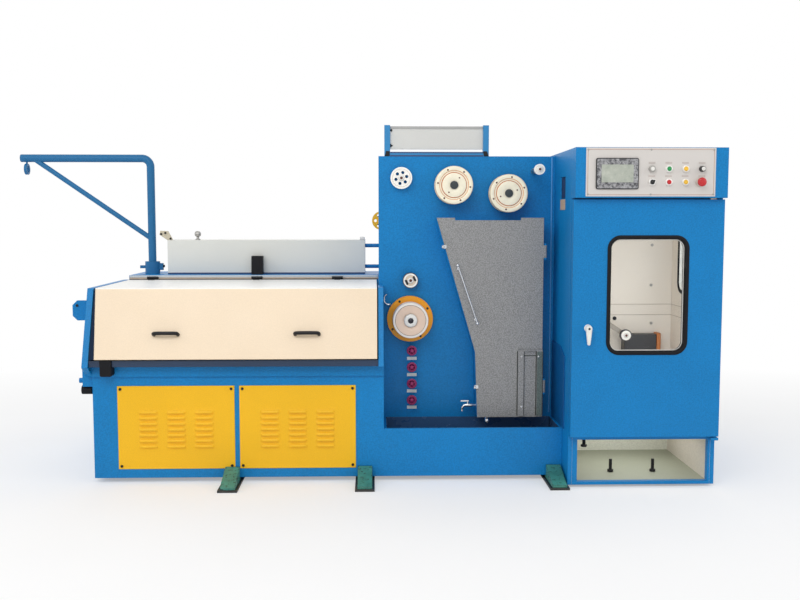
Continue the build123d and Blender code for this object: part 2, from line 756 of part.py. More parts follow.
guide_inset = 111.0
guide_drop = 107.0
guide_radius = 52.5
guide_width = 22.0
guide_stand_off = 12.0
guide_bore = 8.0
guide_rim = 5.0
guide_groove = 7.0
guide_holes = 6
guide_hole_radius = 8.0
guide_hole_circle = 27.0
guide_start = 15.0
guide_x = panel_left + guide_inset
guide_z = panel_top - guide_drop
guide_pulley = wheel(guide_x, guide_z, panel_front, guide_stand_off, guide_width, guide_radius, guide_bore,
                     guide_rim, guide_groove)
for x, z in around(guide_x, guide_z, guide_hole_circle, guide_holes, guide_start):
    guide_pulley -= rod_y(x, z, panel_front - guide_stand_off - guide_width, panel_front, guide_hole_radius)
save("upper_guide_pulley", guide_pulley)

corner_inset = 106.0
corner_drop = 72.0
corner_reach = 160.0
corner_radius = 25.0
corner_width = 18.0
corner_bore = 6.0
corner_rim = 4.0
corner_groove = 5.0
save("corner_pulley", wheel(cabinet_left - corner_inset, panel_top - corner_drop, panel_front, corner_reach,
                            corner_width, corner_radius, corner_bore, corner_rim, corner_groove))

# Entry pulley with two slots across it
entry_inset = 156.0
entry_rise = 685.0
entry_radius = 38.0
entry_width = 24.0
entry_stand_off = 14.0
entry_bore = 8.0
entry_rim = 5.0
entry_groove = 7.0
entry_slots = 2
entry_slot_width = 9.0
entry_slot_length = 24.0
entry_slot_offset = 20.0
entry_turn = 25.0
entry_x = panel_left + entry_inset
entry_z = rim_top + entry_rise
entry_pulley = wheel(entry_x, entry_z, panel_front, entry_stand_off, entry_width, entry_radius, entry_bore,
                     entry_rim, entry_groove)
for x, z in around(entry_x, entry_z, entry_slot_offset, entry_slots, entry_turn):
    slot = Box(entry_slot_width, entry_width, entry_slot_length)
    slot_y = panel_front - entry_stand_off - entry_width / 2
    entry_pulley -= Pos(x, slot_y, z) * Rot(0, -entry_turn, 0) * slot
save("entry_pulley", entry_pulley)

# Finishing capstan in front of its fixed guard ring
ring_radius = 113.0
ring_width = 24.0
ring_bore = 60.0
capstan_inset = 154.0
capstan_rise = 495.0
capstan_x = panel_left + capstan_inset
capstan_z = rim_top + capstan_rise
capstan_radius = 86.0
capstan_width = 80.0
capstan_bore = 20.0
capstan_lip = 5.0
capstan_flange = 12.0
capstan_rim = 7.0
capstan_hub = 38.0
capstan_dish = 8.0

save("capstan_ring", turned(capstan_x, capstan_z, [(ring_bore, panel_front), (ring_radius, panel_front),
                                                   (ring_radius, panel_front - ring_width),
                                                   (ring_bore, panel_front - ring_width)]))
capstan_back = panel_front - ring_width - moving_gap
capstan_front = capstan_back - capstan_width
capstan_drum = capstan_radius - capstan_lip
axle(capstan_x, capstan_z, panel_front, capstan_back, capstan_front, capstan_bore)
save("capstan", turned(capstan_x, capstan_z, [
    (capstan_bore, capstan_back), (capstan_radius, capstan_back),
    (capstan_radius, capstan_back - capstan_flange),
    (capstan_drum, capstan_back - capstan_flange - capstan_lip),
    (capstan_drum, capstan_front + capstan_rim + capstan_lip),
    (capstan_radius, capstan_front + capstan_rim), (capstan_radius, capstan_front),
    (capstan_hub + capstan_dish, capstan_front),
    (capstan_hub, capstan_front + capstan_dish), (capstan_bore, capstan_front + capstan_dish)]))

# Wire wheel on the bracket at the rear, seen past the left edge of the panel
rear_radius = 51.0
rear_width = 20.0
rear_stand_off = 20.0
rear_bore = 9.0
rear_rim = 5.0
rear_groove = 8.0
rear_holes = 6
rear_hole_circle = 32.0
rear_hole_radius = 8.0
rear_wheel = wheel(rear_x, rear_z, rear_root, rear_stand_off, rear_width, rear_radius, rear_bore,
                   rear_rim, rear_groove)
for x, z in around(rear_x, rear_z, rear_hole_circle, rear_holes):
    rear_wheel -= rod_y(x, z, rear_root - rear_stand_off - rear_width, rear_root, rear_hole_radius)
save("rear_wheel", rear_wheel)

# Four valve handwheels in a column under the capstan
valve_count = 4
valve_inset = 162.0
valve_rise = 340.0
valve_x = panel_left + valve_inset
valve_top = rim_top + valve_rise
valve_pitch = 82.0
valve_radius = 25.0
valve_width = 16.0
valve_reach = 40.0
valve_bore = 6.0
valve_lobes = 10
lobe_radius = 3.0
valve_rim = 7.5
valve_hub = 10.0
valve_spokes = 5
spoke_width = 6.0
spoke_depth = 8.0
spoke_start = 90.0
spoke_inner = (valve_bore + valve_hub) / 2
spoke_outer = valve_radius - valve_rim / 2
spoke_length = spoke_outer - spoke_inner
spoke_middle = (spoke_outer + spoke_inner) / 2
for valve in range(valve_count):
    z = valve_top - valve * valve_pitch
    back = panel_front - valve_reach
    front = back - valve_width
    hub = rod_y(valve_x, z, front, back, valve_hub) - rod_y(valve_x, z, front, back, valve_bore)
    rim = rod_y(valve_x, z, front, back, valve_radius)
    rim -= rod_y(valve_x, z, front, back, valve_radius - valve_rim)
    for lobe_x, lobe_z in around(valve_x, z, valve_radius + lobe_radius / 2, valve_lobes):
        rim -= rod_y(lobe_x, lobe_z, front, back, lobe_radius)
    hand_wheel = hub + rim
    for spoke in range(valve_spokes):
        turn = spoke_start + spoke * 360.0 / valve_spokes
        spoke_x, spoke_z = around(valve_x, z, spoke_middle, 1, turn)[0]
        bar = Box(spoke_length, spoke_depth, spoke_width)
        hand_wheel += Pos(spoke_x, (front + back) / 2, spoke_z) * Rot(0, -turn, 0) * bar
    save(f"valve_wheel_{valve + 1}", hand_wheel)
    stem = rod_y(valve_x, z, front - seat_gap - cap_thickness, panel_front, valve_bore - shaft_gap)
    stem += rod_y(valve_x, z, back + seat_gap, panel_front, valve_bore + cap_overlap)
    stem += rod_y(valve_x, z, front - seat_gap - cap_thickness, front - seat_gap, valve_bore + cap_overlap / 2)
    axles.append(stem)
save("wheel_axles", *axles)

# Spooler cabinet: walls, floors and a closed rear housing around an open compartment
slot_setback = 190.0
slot_depth = 110.0
slot_drop = 118.0
slot_height = 102.0
splash_sheet = 3.0
splash_height = 363.0
side_window_setback = 200.0
side_window_depth = 360.0
side_window_drop = 270.0
side_window_rise = 620.0
bottom_sheet = 6.0
stile_left = 43.0
stile_right = 31.0
rail_low = 14.0
rail_high = 12.0
frame_depth = 30.0
inner_left = cabinet_left + wall
inner_right = cabinet_right - wall
floor_lip = 5.0
floor_top = door_bottom + floor_lip
floor_bottom = floor_top - shelf
roof_bottom = cabinet_top - shelf
back_front = spool_back - shelf
slot_top = cabinet_top - slot_drop
splash_top = rim_top + splash_height
side_window_bottom = floor_top + side_window_rise
side_window_height = cabinet_top - side_window_drop - side_window_bottom

left_wall = block(cabinet_left, inner_left, frame_front, spool_back, cabinet_bottom, cabinet_top)
left_wall -= block(cabinet_left, inner_left, door_front + slot_setback, door_front + slot_setback + slot_depth,
                   slot_top - slot_height, slot_top)
left_wall += block(cabinet_left - splash_sheet, cabinet_left, base_front, panel_front - seat_gap,
                   rim_top + seat_gap, splash_top)
save("cabinet_left_wall", left_wall)

side_middle_y = door_front + side_window_setback + side_window_depth / 2
side_middle_z = side_window_bottom + side_window_height / 2


def side_slab(depth, height, radius, x0, x1):
    """Slab with rounded corners in the right wall's window, from x0 to x1."""
    outline = Plane((x0, side_middle_y, side_middle_z), x_dir=(0, 1, 0), z_dir=(1, 0, 0))
    return extrude(outline * RectangleRounded(depth, height, radius), amount=x1 - x0)


window_corner = 50.0
gasket_lap = 10.0
gasket_wall = 8.0
gasket_proud = 5.0
pane_sheet = 5.0
right_wall = block(inner_right, cabinet_right, frame_front, spool_back, cabinet_bottom, cabinet_top)
save("cabinet_right_wall",
     right_wall - side_slab(side_window_depth, side_window_height, window_corner, inner_right, cabinet_right))
side_gasket = side_slab(side_window_depth, side_window_height, window_corner, inner_right, cabinet_right)
side_gasket += side_slab(side_window_depth + 2 * gasket_lap, side_window_height + 2 * gasket_lap,
                         window_corner + gasket_lap, inner_right - gasket_proud, inner_right)
side_gasket -= side_slab(side_window_depth - 2 * gasket_wall, side_window_height - 2 * gasket_wall,
                         window_corner - gasket_wall, inner_right - gasket_proud, cabinet_right)
save("side_gasket", side_gasket)
pane_x = (inner_right + cabinet_right - pane_sheet) / 2
pane_cut = gasket_wall + seat_gap / 2
save("side_window", side_slab(side_window_depth - 2 * pane_cut, side_window_height - 2 * pane_cut,
                              window_corner - pane_cut, pane_x, pane_x + pane_sheet))

save("cabinet_back_wall", block(inner_left, inner_right, back_front, spool_back, floor_top, roof_bottom))
save("cabinet_rear_housing", block(cabinet_left, cabinet_right, spool_back, base_rear,
                                   cabinet_bottom, cabinet_top))

# Levelling bolts under the cabinet, the front pair standing up through its bottom plate
bolt_radius = 8.0
bolt_hole_gap = 0.5
bolt_pad_radius = 25.0
bolt_pad = 8.0
bolt_nut = 13.0
bolt_nut_height = 12.0
bolt_top = 80.0
left_bolt_inset = 250.0
right_bolt_inset = 225.0
front_bolt_setback = 250.0
rear_bolt_setback = 130.0
bolts_x = [cabinet_left + left_bolt_inset, cabinet_right - right_bolt_inset]
front_bolts_y = door_front + front_bolt_setback
rear_bolts_y = base_rear - rear_bolt_setback

bottom_plate = block(inner_left, inner_right, frame_front + frame_depth, spool_back,
                     cabinet_bottom, cabinet_bottom + bottom_sheet)
bolts = []
for bolt_x in bolts_x:
    bottom_plate -= rod_z(bolt_x, front_bolts_y, cabinet_bottom, cabinet_bottom + bottom_sheet,
                          bolt_radius + bolt_hole_gap)
    plate_top = cabinet_bottom + bottom_sheet
    for bolt_y in (front_bolts_y, rear_bolts_y):
        bolt = rod_z(bolt_x, bolt_y, 0, bolt_pad, bolt_pad_radius)
        bolt += rod_z(bolt_x, bolt_y, bolt_pad, cabinet_bottom, bolt_nut)
        if bolt_y == front_bolts_y:
            bolt += rod_z(bolt_x, bolt_y, cabinet_bottom, bolt_top, bolt_radius)
            bolt += rod_z(bolt_x, bolt_y, plate_top, plate_top + bolt_nut_height, bolt_nut)
        bolts.append(bolt)
save("leveling_bolts", *bolts)
save("cabinet_floors", bottom_plate,
     block(inner_left, inner_right, frame_front, spool_back, floor_bottom, floor_top))

# Front frame around the lower opening, with the door's lower pivot bracket
pivot_inset = 12.0
pivot_radius = 6.0
pivot_length = 30.0
bracket_width = 34.0
bracket_height = 12.0
bracket_top_z = door_bottom - moving_gap
pivot_x = cabinet_right - pivot_inset
pivot_y = door_front + pivot_inset

front_frame = block(inner_left, inner_right, frame_front, frame_front + frame_depth,
                    cabinet_bottom, floor_bottom)
front_frame -= block(cabinet_left + stile_left, cabinet_right - stile_right, frame_front,
                     frame_front + frame_depth, cabinet_bottom + rail_low, floor_bottom - rail_high)
front_frame += block(cabinet_right - bracket_width, cabinet_right, door_front, frame_front,
                     bracket_top_z - bracket_height, bracket_top_z)
front_frame += rod_z(pivot_x, pivot_y, bracket_top_z, door_bottom + pivot_length, pivot_radius - shaft_gap)
save("cabinet_front_frame", front_frame)

# Control header over the door, with the cabinet's roof behind it and the door's upper pivot
door_top = header_bottom - moving_gap
header = block(cabinet_left, cabinet_right, header_front, frame_front, header_bottom, cabinet_top)
header += block(inner_left, inner_right, frame_front, spool_back, roof_bottom, cabinet_top)
header += rod_z(pivot_x, pivot_y, door_top - pivot_length, header_bottom, pivot_radius - shaft_gap)
save("control_header", header)

# Spooler door with its window and lever handle
window_side_margin = 165.0
window_head_margin = 170.0
window_foot_margin = 387.0
pin_play = 2.0
handle_inset = 72.0
handle_rise = 500.0
spindle_radius = 7.0
handle_width = 29.0
handle_tip = 7.0
handle_length = 90.0
handle_sheet = 14.0
rose_radius = 17.0
rose_height = 20.0
washer_radius = 14.0
washer_sheet = 4.0
door_x = (cabinet_left + cabinet_right) / 2
door_back = door_front + door_thickness
window_top = door_top - window_head_margin
window_bottom = door_bottom + window_foot_margin
window_z = (window_top + window_bottom) / 2
window_width = cabinet_width - 2 * window_side_margin
window_height = window_top - window_bottom
handle_x = cabinet_left + handle_inset
handle_z = door_bottom + handle_rise

door = block(cabinet_left, cabinet_right, door_front, door_back, door_bottom, door_top)
door -= round_window(door_x, window_z, window_width, window_height, window_corner, door_front, door_back)
door -= rod_z(pivot_x, pivot_y, door_bottom, door_bottom + pivot_length + pin_play, pivot_radius)
door -= rod_z(pivot_x, pivot_y, door_top - pivot_length - pin_play, door_top, pivot_radius)
door -= rod_y(handle_x, handle_z, door_front, door_back, spindle_radius)
save("spool_door", door)

gasket = round_window(door_x, window_z, window_width, window_height, window_corner, door_front, door_back)
gasket += round_window(door_x, window_z, window_width + 2 * gasket_lap, window_height + 2 * gasket_lap,
                       window_corner + gasket_lap, door_front - gasket_proud, door_front)
gasket -= round_window(door_x, window_z, window_width - 2 * gasket_wall, window_height - 2 * gasket_wall,
                       window_corner - gasket_wall, door_front - gasket_proud, door_back)
save("door_gasket", gasket)
pane_y = door_front + (door_thickness - pane_sheet) / 2
save("door_glass", round_window(door_x, window_z, window_width - 2 * pane_cut, window_height - 2 * pane_cut,
                                window_corner - pane_cut, pane_y, pane_y + pane_sheet))

rose_front = door_front - seat_gap - rose_height
handle = rod_y(handle_x, handle_z, rose_front, door_back + seat_gap + washer_sheet,
               spindle_radius - shaft_gap)
handle += rod_y(handle_x, handle_z, rose_front, door_front - seat_gap, rose_radius)
handle += rod_y(handle_x, handle_z, door_back + seat_gap, door_back + seat_gap + washer_sheet, washer_radius)
lever_drop = handle_length - handle_width / 2 - handle_tip
lever_plane = Plane((handle_x, rose_front - handle_sheet, handle_z), x_dir=(1, 0, 0), z_dir=(0, 1, 0))
lever_ends = [Circle(handle_width / 2).edge(), (Pos(0, lever_drop) * Circle(handle_tip)).edge()]
handle += extrude(lever_plane * make_hull(lever_ends), amount=handle_sheet)
save("door_handle", handle)

# Controls on the header: bare plate, touch screen, push buttons and the emergency button
plate_left_margin = 45.0
plate_right_margin = 58.0
plate_foot_margin = 6.0
plate_head_margin = 2.0
plate_sheet = 3.0
screen_inset = 38.0
screen_rise = 27.0
screen_width = 200.0
screen_height = 146.0
screen_body = 8.0
screen_corner = 8.0
screen_margin_x = 26.0
screen_margin_z = 30.0
screen_recess = 2.0
button_column_count = 4
first_button_gap = 54.0
last_button_gap = 62.0
lower_button_rise = 63.0
button_row_pitch = 58.0
bezel_radius = 15.0
bezel_height = 6.0
cap_radius = 11.0
cap_height = 12.0
stop_radius = 20.0
stop_cap = 16.0
stop_dome = 26.0
plate_face = header_front - plate_sheet
plate_left = cabinet_left + plate_left_margin
plate_right = cabinet_right - plate_right_margin
plate_bottom = header_bottom + plate_foot_margin
plate_top = cabinet_top - plate_head_margin
screen_x = plate_left + screen_inset + screen_width / 2
screen_z = plate_bottom + screen_rise + screen_height / 2
first_button = plate_left + screen_inset + screen_width + first_button_gap
last_button = plate_right - last_button_gap
button_pitch = (last_button - first_button) / (button_column_count - 1)
button_columns = [first_button + column * button_pitch for column in range(button_column_count)]
lower_buttons = plate_bottom + lower_button_rise
button_rows = [lower_buttons + button_row_pitch, lower_buttons]

save("control_plate", block(plate_left, plate_right, plate_face, header_front, plate_bottom, plate_top))
screen_face = plate_face - screen_body
screen = round_window(screen_x, screen_z, screen_width, screen_height, screen_corner, screen_face, plate_face)
glass_half_width = screen_width / 2 - screen_margin_x
glass_half_height = screen_height / 2 - screen_margin_z
screen -= block(screen_x - glass_half_width, screen_x + glass_half_width, screen_face,
                screen_face + screen_recess, screen_z - glass_half_height, screen_z + glass_half_height)
save("touch_screen", screen)

buttons = []
for z in button_rows:
    for x in button_columns:
        button = rod_y(x, z, plate_face - bezel_height, plate_face, bezel_radius)
        if z == button_rows[-1] and x == button_columns[-1]:
            stop_face = header_front - button_reach
            button += rod_y(x, z, stop_face + stop_cap, plate_face, cap_radius)
            dome = Pos(x, stop_face + stop_dome, z) * Sphere(stop_dome)
            button += rod_y(x, z, stop_face, stop_face + stop_cap, stop_radius) & dome
        else:
            button += rod_y(x, z, plate_face - bezel_height - cap_height, plate_face, cap_radius)
        buttons.append(button)
save("push_buttons", *buttons)

# Inside the compartment: wire guide pulley on its arm, and the traverse drive standing on the floor
drive_right_gap = 70.0
drive_width = 168.0
drive_depth = 60.0
drive_height = 392.0
drive_bar = 20.0
drive_bar_gap = 1.0
arm_root_offset = 144.0
arm_root_rise = 487.0
winder_offset = 5.0
winder_rise = 393.0
winder_radius = 30.0
winder_width = 18.0
winder_bore = 6.0
winder_rim = 4.0
winder_groove = 6.0
link_sheet = 8.0
link_width = 24.0
stud_length = 75.0
stud_radius = 10.0
winder_gap = 10.0
drive_right = inner_right - drive_right_gap - drive_bar - drive_bar_gap
drive_left = drive_right - drive_width
drive_top = floor_top + drive_height
arm_root_x = drive_left - arm_root_offset
arm_root_z = floor_top + arm_root_rise
winder_x = drive_left - winder_offset
winder_z = floor_top + winder_rise

link_back = back_front - stud_length
link_front = link_back - link_sheet
link_run = Vector(winder_x - arm_root_x, 0, winder_z - arm_root_z)
link_plane = Plane(((arm_root_x + winder_x) / 2, link_front, (arm_root_z + winder_z) / 2),
                   x_dir=link_run, z_dir=(0, 1, 0))
guide_link = extrude(link_plane * SlotCenterToCenter(link_run.length, link_width), amount=link_sheet)
guide_link += rod_y(arm_root_x, arm_root_z, link_front, back_front, stud_radius)
winder_pulley = wheel(winder_x, winder_z, link_front, winder_gap, winder_width, winder_radius, winder_bore,
                      winder_rim, winder_groove)
guide_link += axles.pop()
save("guide_arm", guide_link)
save("winder_pulley", winder_pulley)

drive_front = back_front - drive_depth
save("traverse_drive", block(drive_left, drive_right, drive_front, back_front, floor_top, drive_top),
     block(drive_right + drive_bar_gap, drive_right + drive_bar_gap + drive_bar, drive_front, back_front,
           floor_top, drive_top))
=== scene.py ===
# %% [markdown]
# A wire drawing machine, dressed for a studio photograph.
# The solids of the machine come in as a fixed frame: they are already the right size and in the right place.
# This lesson gives each of them a finish, and adds the pieces whose look needs finer surfaces than the solids
# have. Every new shape is a formula worked out on a grid with numpy.

# %% Load the frame
import math

import bmesh
import bpy
import numpy as np
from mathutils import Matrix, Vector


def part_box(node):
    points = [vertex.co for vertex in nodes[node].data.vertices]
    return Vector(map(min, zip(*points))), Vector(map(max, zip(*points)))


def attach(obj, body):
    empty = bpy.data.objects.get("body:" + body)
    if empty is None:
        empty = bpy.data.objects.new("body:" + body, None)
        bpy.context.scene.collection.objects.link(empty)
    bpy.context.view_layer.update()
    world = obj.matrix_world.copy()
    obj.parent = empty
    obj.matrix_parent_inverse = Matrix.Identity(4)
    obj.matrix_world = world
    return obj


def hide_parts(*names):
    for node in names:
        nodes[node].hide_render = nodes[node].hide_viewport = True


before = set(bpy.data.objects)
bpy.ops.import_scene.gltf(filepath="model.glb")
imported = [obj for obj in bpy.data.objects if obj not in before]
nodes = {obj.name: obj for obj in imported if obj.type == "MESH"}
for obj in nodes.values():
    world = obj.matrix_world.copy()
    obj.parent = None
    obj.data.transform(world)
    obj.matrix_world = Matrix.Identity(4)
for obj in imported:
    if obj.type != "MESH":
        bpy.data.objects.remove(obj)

scene = bpy.context.scene
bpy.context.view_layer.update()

# %% [markdown]
# The photograph was taken from in front of the machine, a little to the right of its middle and at chest height.
# A long wall of parallel edges gives the vanishing point, and so the camera's turn and tilt. The camera keeps
# those angles, and its place is measured from the front of the spooler door.

# %% Camera
IMAGE_WIDTH = 800.0
FOCAL_PIXELS = 944.0
SENSOR_WIDTH = 36.0
CAMERA_DISTANCE = 4.2
CAMERA_HEIGHT = 1.23
CAMERA_LEFT_OF_DOOR = 0.890
CAMERA_YAW = math.radians(1.58)
CAMERA_PITCH = math.radians(4.84)

door_low, door_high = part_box("spool_door")
camera_data = bpy.data.cameras.new("studio_camera")
camera_data.sensor_width = SENSOR_WIDTH
camera_data.lens = SENSOR_WIDTH * FOCAL_PIXELS / IMAGE_WIDTH
camera = bpy.data.objects.new("studio_camera", camera_data)
scene.collection.objects.link(camera)
camera.location = (door_low.x - CAMERA_LEFT_OF_DOOR, door_low.y - CAMERA_DISTANCE, CAMERA_HEIGHT)
camera.rotation_euler = (math.pi / 2 - CAMERA_PITCH, 0.0, -CAMERA_YAW)
scene.camera = camera
scene.view_settings.view_transform = "Standard"
print("camera at", [round(v, 3) for v in camera.location], "lens", round(camera_data.lens, 2))

# %% [markdown]
# Light and finishes are both networks of small nodes. One function makes a node of any kind, sets it and feeds its
# sockets. The kinds that come up again and again get a short function of their own, where they are first needed.


# %% Nodes
def add_node(tree, kind, sockets, **settings):
    """Outputs of a new node. Each socket, by name or number, takes a fixed value or the output of another node."""
    node = tree.nodes.new("ShaderNode" + kind)
    for setting, value in settings.items():
        setattr(node, setting, value)
    for socket, source in sockets.items():
        if isinstance(source, (float, tuple)):
            node.inputs[socket].default_value = source
        else:
            tree.links.new(source, node.inputs[socket])
    return node.outputs


def math_node(tree, operation, *values):
    """Result of a sum, a product or a function of one or two values."""
    return add_node(tree, "Math", dict(enumerate(values)), operation=operation)[0]


def mix_shader(tree, factor, first, second):
    """Light or surface between two others."""
    return add_node(tree, "MixShader", {0: factor, 1: first, 2: second})[0]


print("node makers:", [maker.__name__ for maker in (add_node, math_node, mix_shader)])

# %% [markdown]
# The light is a plain white studio: an even world, a large soft panel high in front and weaker ones at the sides
# and behind. Two small panels light the spooler's compartment and the bay below it. Colours should come out about
# as they are written, so no lamp is strong. The background is white to the camera, in reflections and through the
# panes only, which adds no light to the machine.

# %% World and lamps
WHITE = (1.0, 1.0, 1.0, 1.0)
WORLD_LIGHT = 0.62
PANELS = [("front_panel", (-1.2, -4.6, 4.2), (4.0, 2.4), 95.0), ("right_panel", (4.6, -2.2, 2.8), (2.4, 2.4), 34.0),
          ("left_panel", (-4.8, -1.6, 3.0), (2.4, 2.4), 34.0), ("rear_panel", (0.0, 4.6, 3.6), (4.0, 2.4), 40.0)]
MACHINE_MIDDLE = (0.0, 0.0, 0.9)


def studio_world():
    """Even grey-white light, with plain white where the camera or a reflection looks past the machine."""
    world = bpy.data.worlds.new("studio")
    world.use_nodes = True
    tree = world.node_tree
    tree.nodes.clear()
    path = add_node(tree, "LightPath", {})
    either = math_node(tree, "MAXIMUM", path["Is Camera Ray"], path["Is Glossy Ray"])
    any_ray = math_node(tree, "MAXIMUM", either, path["Is Transmission Ray"])
    light, seen = [add_node(tree, "Background", {"Color": WHITE, "Strength": strength})[0]
                   for strength in (WORLD_LIGHT, 1.0)]
    add_node(tree, "OutputWorld", {"Surface": mix_shader(tree, any_ray, light, seen)})
    scene.world = world


def soft_panel(name, place, aim, size, watts):
    """Area lamp at a place, turned towards the point it lights."""
    data = bpy.data.lights.new(name, "AREA")
    data.shape = "RECTANGLE"
    data.size, data.size_y = size
    data.energy = watts
    lamp = bpy.data.objects.new(name, data)
    scene.collection.objects.link(lamp)
    lamp.location = place
    away = lamp.location - type(lamp.location)(aim)
    lamp.rotation_euler = away.to_track_quat("Z", "Y").to_euler()
    lamp.visible_camera = False


studio_world()
for panel, place, size, watts in PANELS:
    soft_panel(panel, place, MACHINE_MIDDLE, size, watts)
back_low, back_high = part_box("cabinet_back_wall")
spool_middle = (back_low.x + back_high.x) / 2
spool_lamp_y = (door_high.y + back_low.y) / 2
spool_lamp_z = (back_low.z + back_high.z) / 2
soft_panel("compartment_panel", (spool_middle, door_high.y + 0.03, spool_lamp_z),
           (spool_middle, back_low.y, spool_lamp_z), (0.5, 0.9), 2.45)
soft_panel("bay_panel", (spool_middle, spool_lamp_y, back_low.z - 0.04), (spool_middle, spool_lamp_y, 0.0),
           (0.5, 0.4), 0.78)
print("lamps:", [lamp.name for lamp in bpy.data.lights])

# %% [markdown]
# A finish starts from colours, patterns and normals. Patterns are read in object coordinates, so their scale is a
# number of cells per metre. A bevel node rounds the normal at a sharp corner, and where that normal leaves the true
# one there is an edge, which is where paint wears.


# %% Patterns and normals
def srgb(red, green, blue):
    """Colour as seen on a screen, 0 to 255, as linear values with full opacity."""
    parts = np.array([red, green, blue]) / 255.0
    linear = np.where(parts <= 0.04045, parts / 12.92, ((parts + 0.055) / 1.055) ** 2.4)
    return (*[float(v) for v in linear], 1.0)


def shade(colour, factor):
    """The same colour, lighter or darker."""
    return (*[min(1.0, part * factor) for part in colour[:3]], 1.0)


def noise(tree, place, scale, detail=4.0, roughness=0.55):
    """Cloudy pattern between 0 and 1 at a number of cells per metre."""
    return add_node(tree, "TexNoise", {"Vector": place, "Scale": scale, "Detail": detail,
                                       "Roughness": roughness})["Fac"]


def spread(tree, value, low, high, out_low, out_high):
    """Value stretched from one range to another and held inside it."""
    return add_node(tree, "MapRange", {"Value": value, "From Min": low, "From Max": high, "To Min": out_low,
                                       "To Max": out_high})["Result"]


def clouds(tree, place, scale, detail, low=0.0, high=1.0):
    """Cloudy pattern whose usual range, 0.3 to 0.7, is stretched to another one."""
    return spread(tree, noise(tree, place, scale, detail), 0.3, 0.7, low, high)


def blend_colour(tree, factor, first, second):
    """Colour between two, each a fixed colour or another node's output."""
    return add_node(tree, "Mix", {"Factor": factor, 6: first, 7: second}, data_type="RGBA")[2]


def bump(tree, height, strength, depth, normal=None):
    """Surface normal disturbed by a height pattern."""
    sockets = {"Height": height, "Strength": strength, "Distance": depth}
    if normal is not None:
        sockets["Normal"] = normal
    return add_node(tree, "Bump", sockets)["Normal"]


def soft_edges(tree, radius):
    """Normal of a surface whose sharp corners are rounded by a radius in metres."""
    return add_node(tree, "Bevel", {"Radius": radius}, samples=4)["Normal"]


def vector_value(tree, operation, *vectors):
    """Number worked out from vectors: a length or a dot product."""
    return add_node(tree, "VectorMath", dict(enumerate(vectors)), operation=operation)["Value"]


def mapped(tree, place, scale, shift=(0.0, 0.0, 0.0)):
    """Coordinates stretched and then shifted."""
    return add_node(tree, "Mapping", {"Vector": place, "Scale": scale, "Location": shift})["Vector"]


def edge_mask(tree, rounded, low=0.90, high=0.995):
    """1 along sharp edges, 0 on flat faces: where the rounded normal leaves the true one."""
    true_normal = add_node(tree, "NewGeometry", {})["True Normal"]
    return spread(tree, vector_value(tree, "DOT_PRODUCT", true_normal, rounded), low, high, 1.0, 0.0)


def inside_box(tree, place, limits):
    """1 where each listed coordinate lies between its low and high limit, 0 elsewhere."""
    parts = add_node(tree, "SeparateXYZ", {0: place})
    product = 1.0
    for axis, low, high in limits:
        for operation, limit in (("GREATER_THAN", low), ("LESS_THAN", high)):
            product = math_node(tree, "MULTIPLY", math_node(tree, operation, parts[axis], limit), product)
    return product


print("middle grey on a screen gives back", round(srgb(128, 128, 128)[0], 3), "of the light")

# %% [markdown]
# Most of this machine is sprayed enamel over sheet steel: the colour drifts a little over a metre, a fine grain
# breaks it up over a millimetre, the gloss varies with handling, and every folded edge is soft. One function holds
# that recipe, and each paint is a call with its own numbers.

# %% Sprayed enamel
DRIFT_CELLS, RUB_CELLS, GLOSS_CELLS, PEEL_CELLS = 2.2, 35.0, 9.0, 700.0
GRAIN_SHARE = 0.35
PEEL_DEPTH = 0.0004


def new_material(name):
    """Empty material with its tree, its surface shader and the object coordinates."""
    material = bpy.data.materials.new(name)
    material.use_nodes = True
    tree = material.node_tree
    return material, tree, tree.nodes["Principled BSDF"], add_node(tree, "TexCoord", {})["Object"]


def set_surface(tree, shader, colour, roughness, normal):
    """Colour, roughness and normal of a surface, each from another node's output."""
    for source, socket in ((colour, "Base Color"), (roughness, "Roughness"), (normal, "Normal")):
        tree.links.new(source, shader.inputs[socket])


def enamel(name, colour, gloss=0.35, drift=0.10, grain=0.12, grain_scale=420.0, peel=0.25, edge=0.003, wear=1.12,
           shine=0.5, lining=None):
    """Paint on sheet metal: drifting colour, fine grain, orange peel, softened and slightly worn edges.
    A lining is another colour inside a box of (axis, low, high) limits in metres."""
    material, tree, shader, place = new_material(name)
    rounded = soft_edges(tree, edge)
    drifting = blend_colour(tree, clouds(tree, place, DRIFT_CELLS, 5.0), shade(colour, 1.0 - drift),
                            shade(colour, 1.0 + drift))
    speck = spread(tree, noise(tree, place, grain_scale, 2.0), 0.35, 0.65, 0.0, 1.0)
    grained = blend_colour(tree, speck, shade(colour, 1.0 - 2.0 * grain), shade(colour, 1.0 + grain))
    rubbed = spread(tree, noise(tree, place, RUB_CELLS, 4.0), 0.45, 0.62, 0.0, 0.75)
    worn = math_node(tree, "MULTIPLY", edge_mask(tree, rounded), rubbed)
    paint = blend_colour(tree, worn, blend_colour(tree, GRAIN_SHARE, drifting, grained), shade(colour, wear))
    if lining is not None:
        inner, limits = lining
        dusty = blend_colour(tree, speck, shade(inner, 0.92), shade(inner, 1.05))
        paint = blend_colour(tree, inside_box(tree, place, limits), paint, dusty)
    shader.inputs["Specular IOR Level"].default_value = shine
    set_surface(tree, shader, paint, clouds(tree, place, GLOSS_CELLS, 3.0, gloss - 0.03, gloss + 0.05),
                bump(tree, noise(tree, place, PEEL_CELLS, 2.0), peel, PEEL_DEPTH, rounded))
    return material


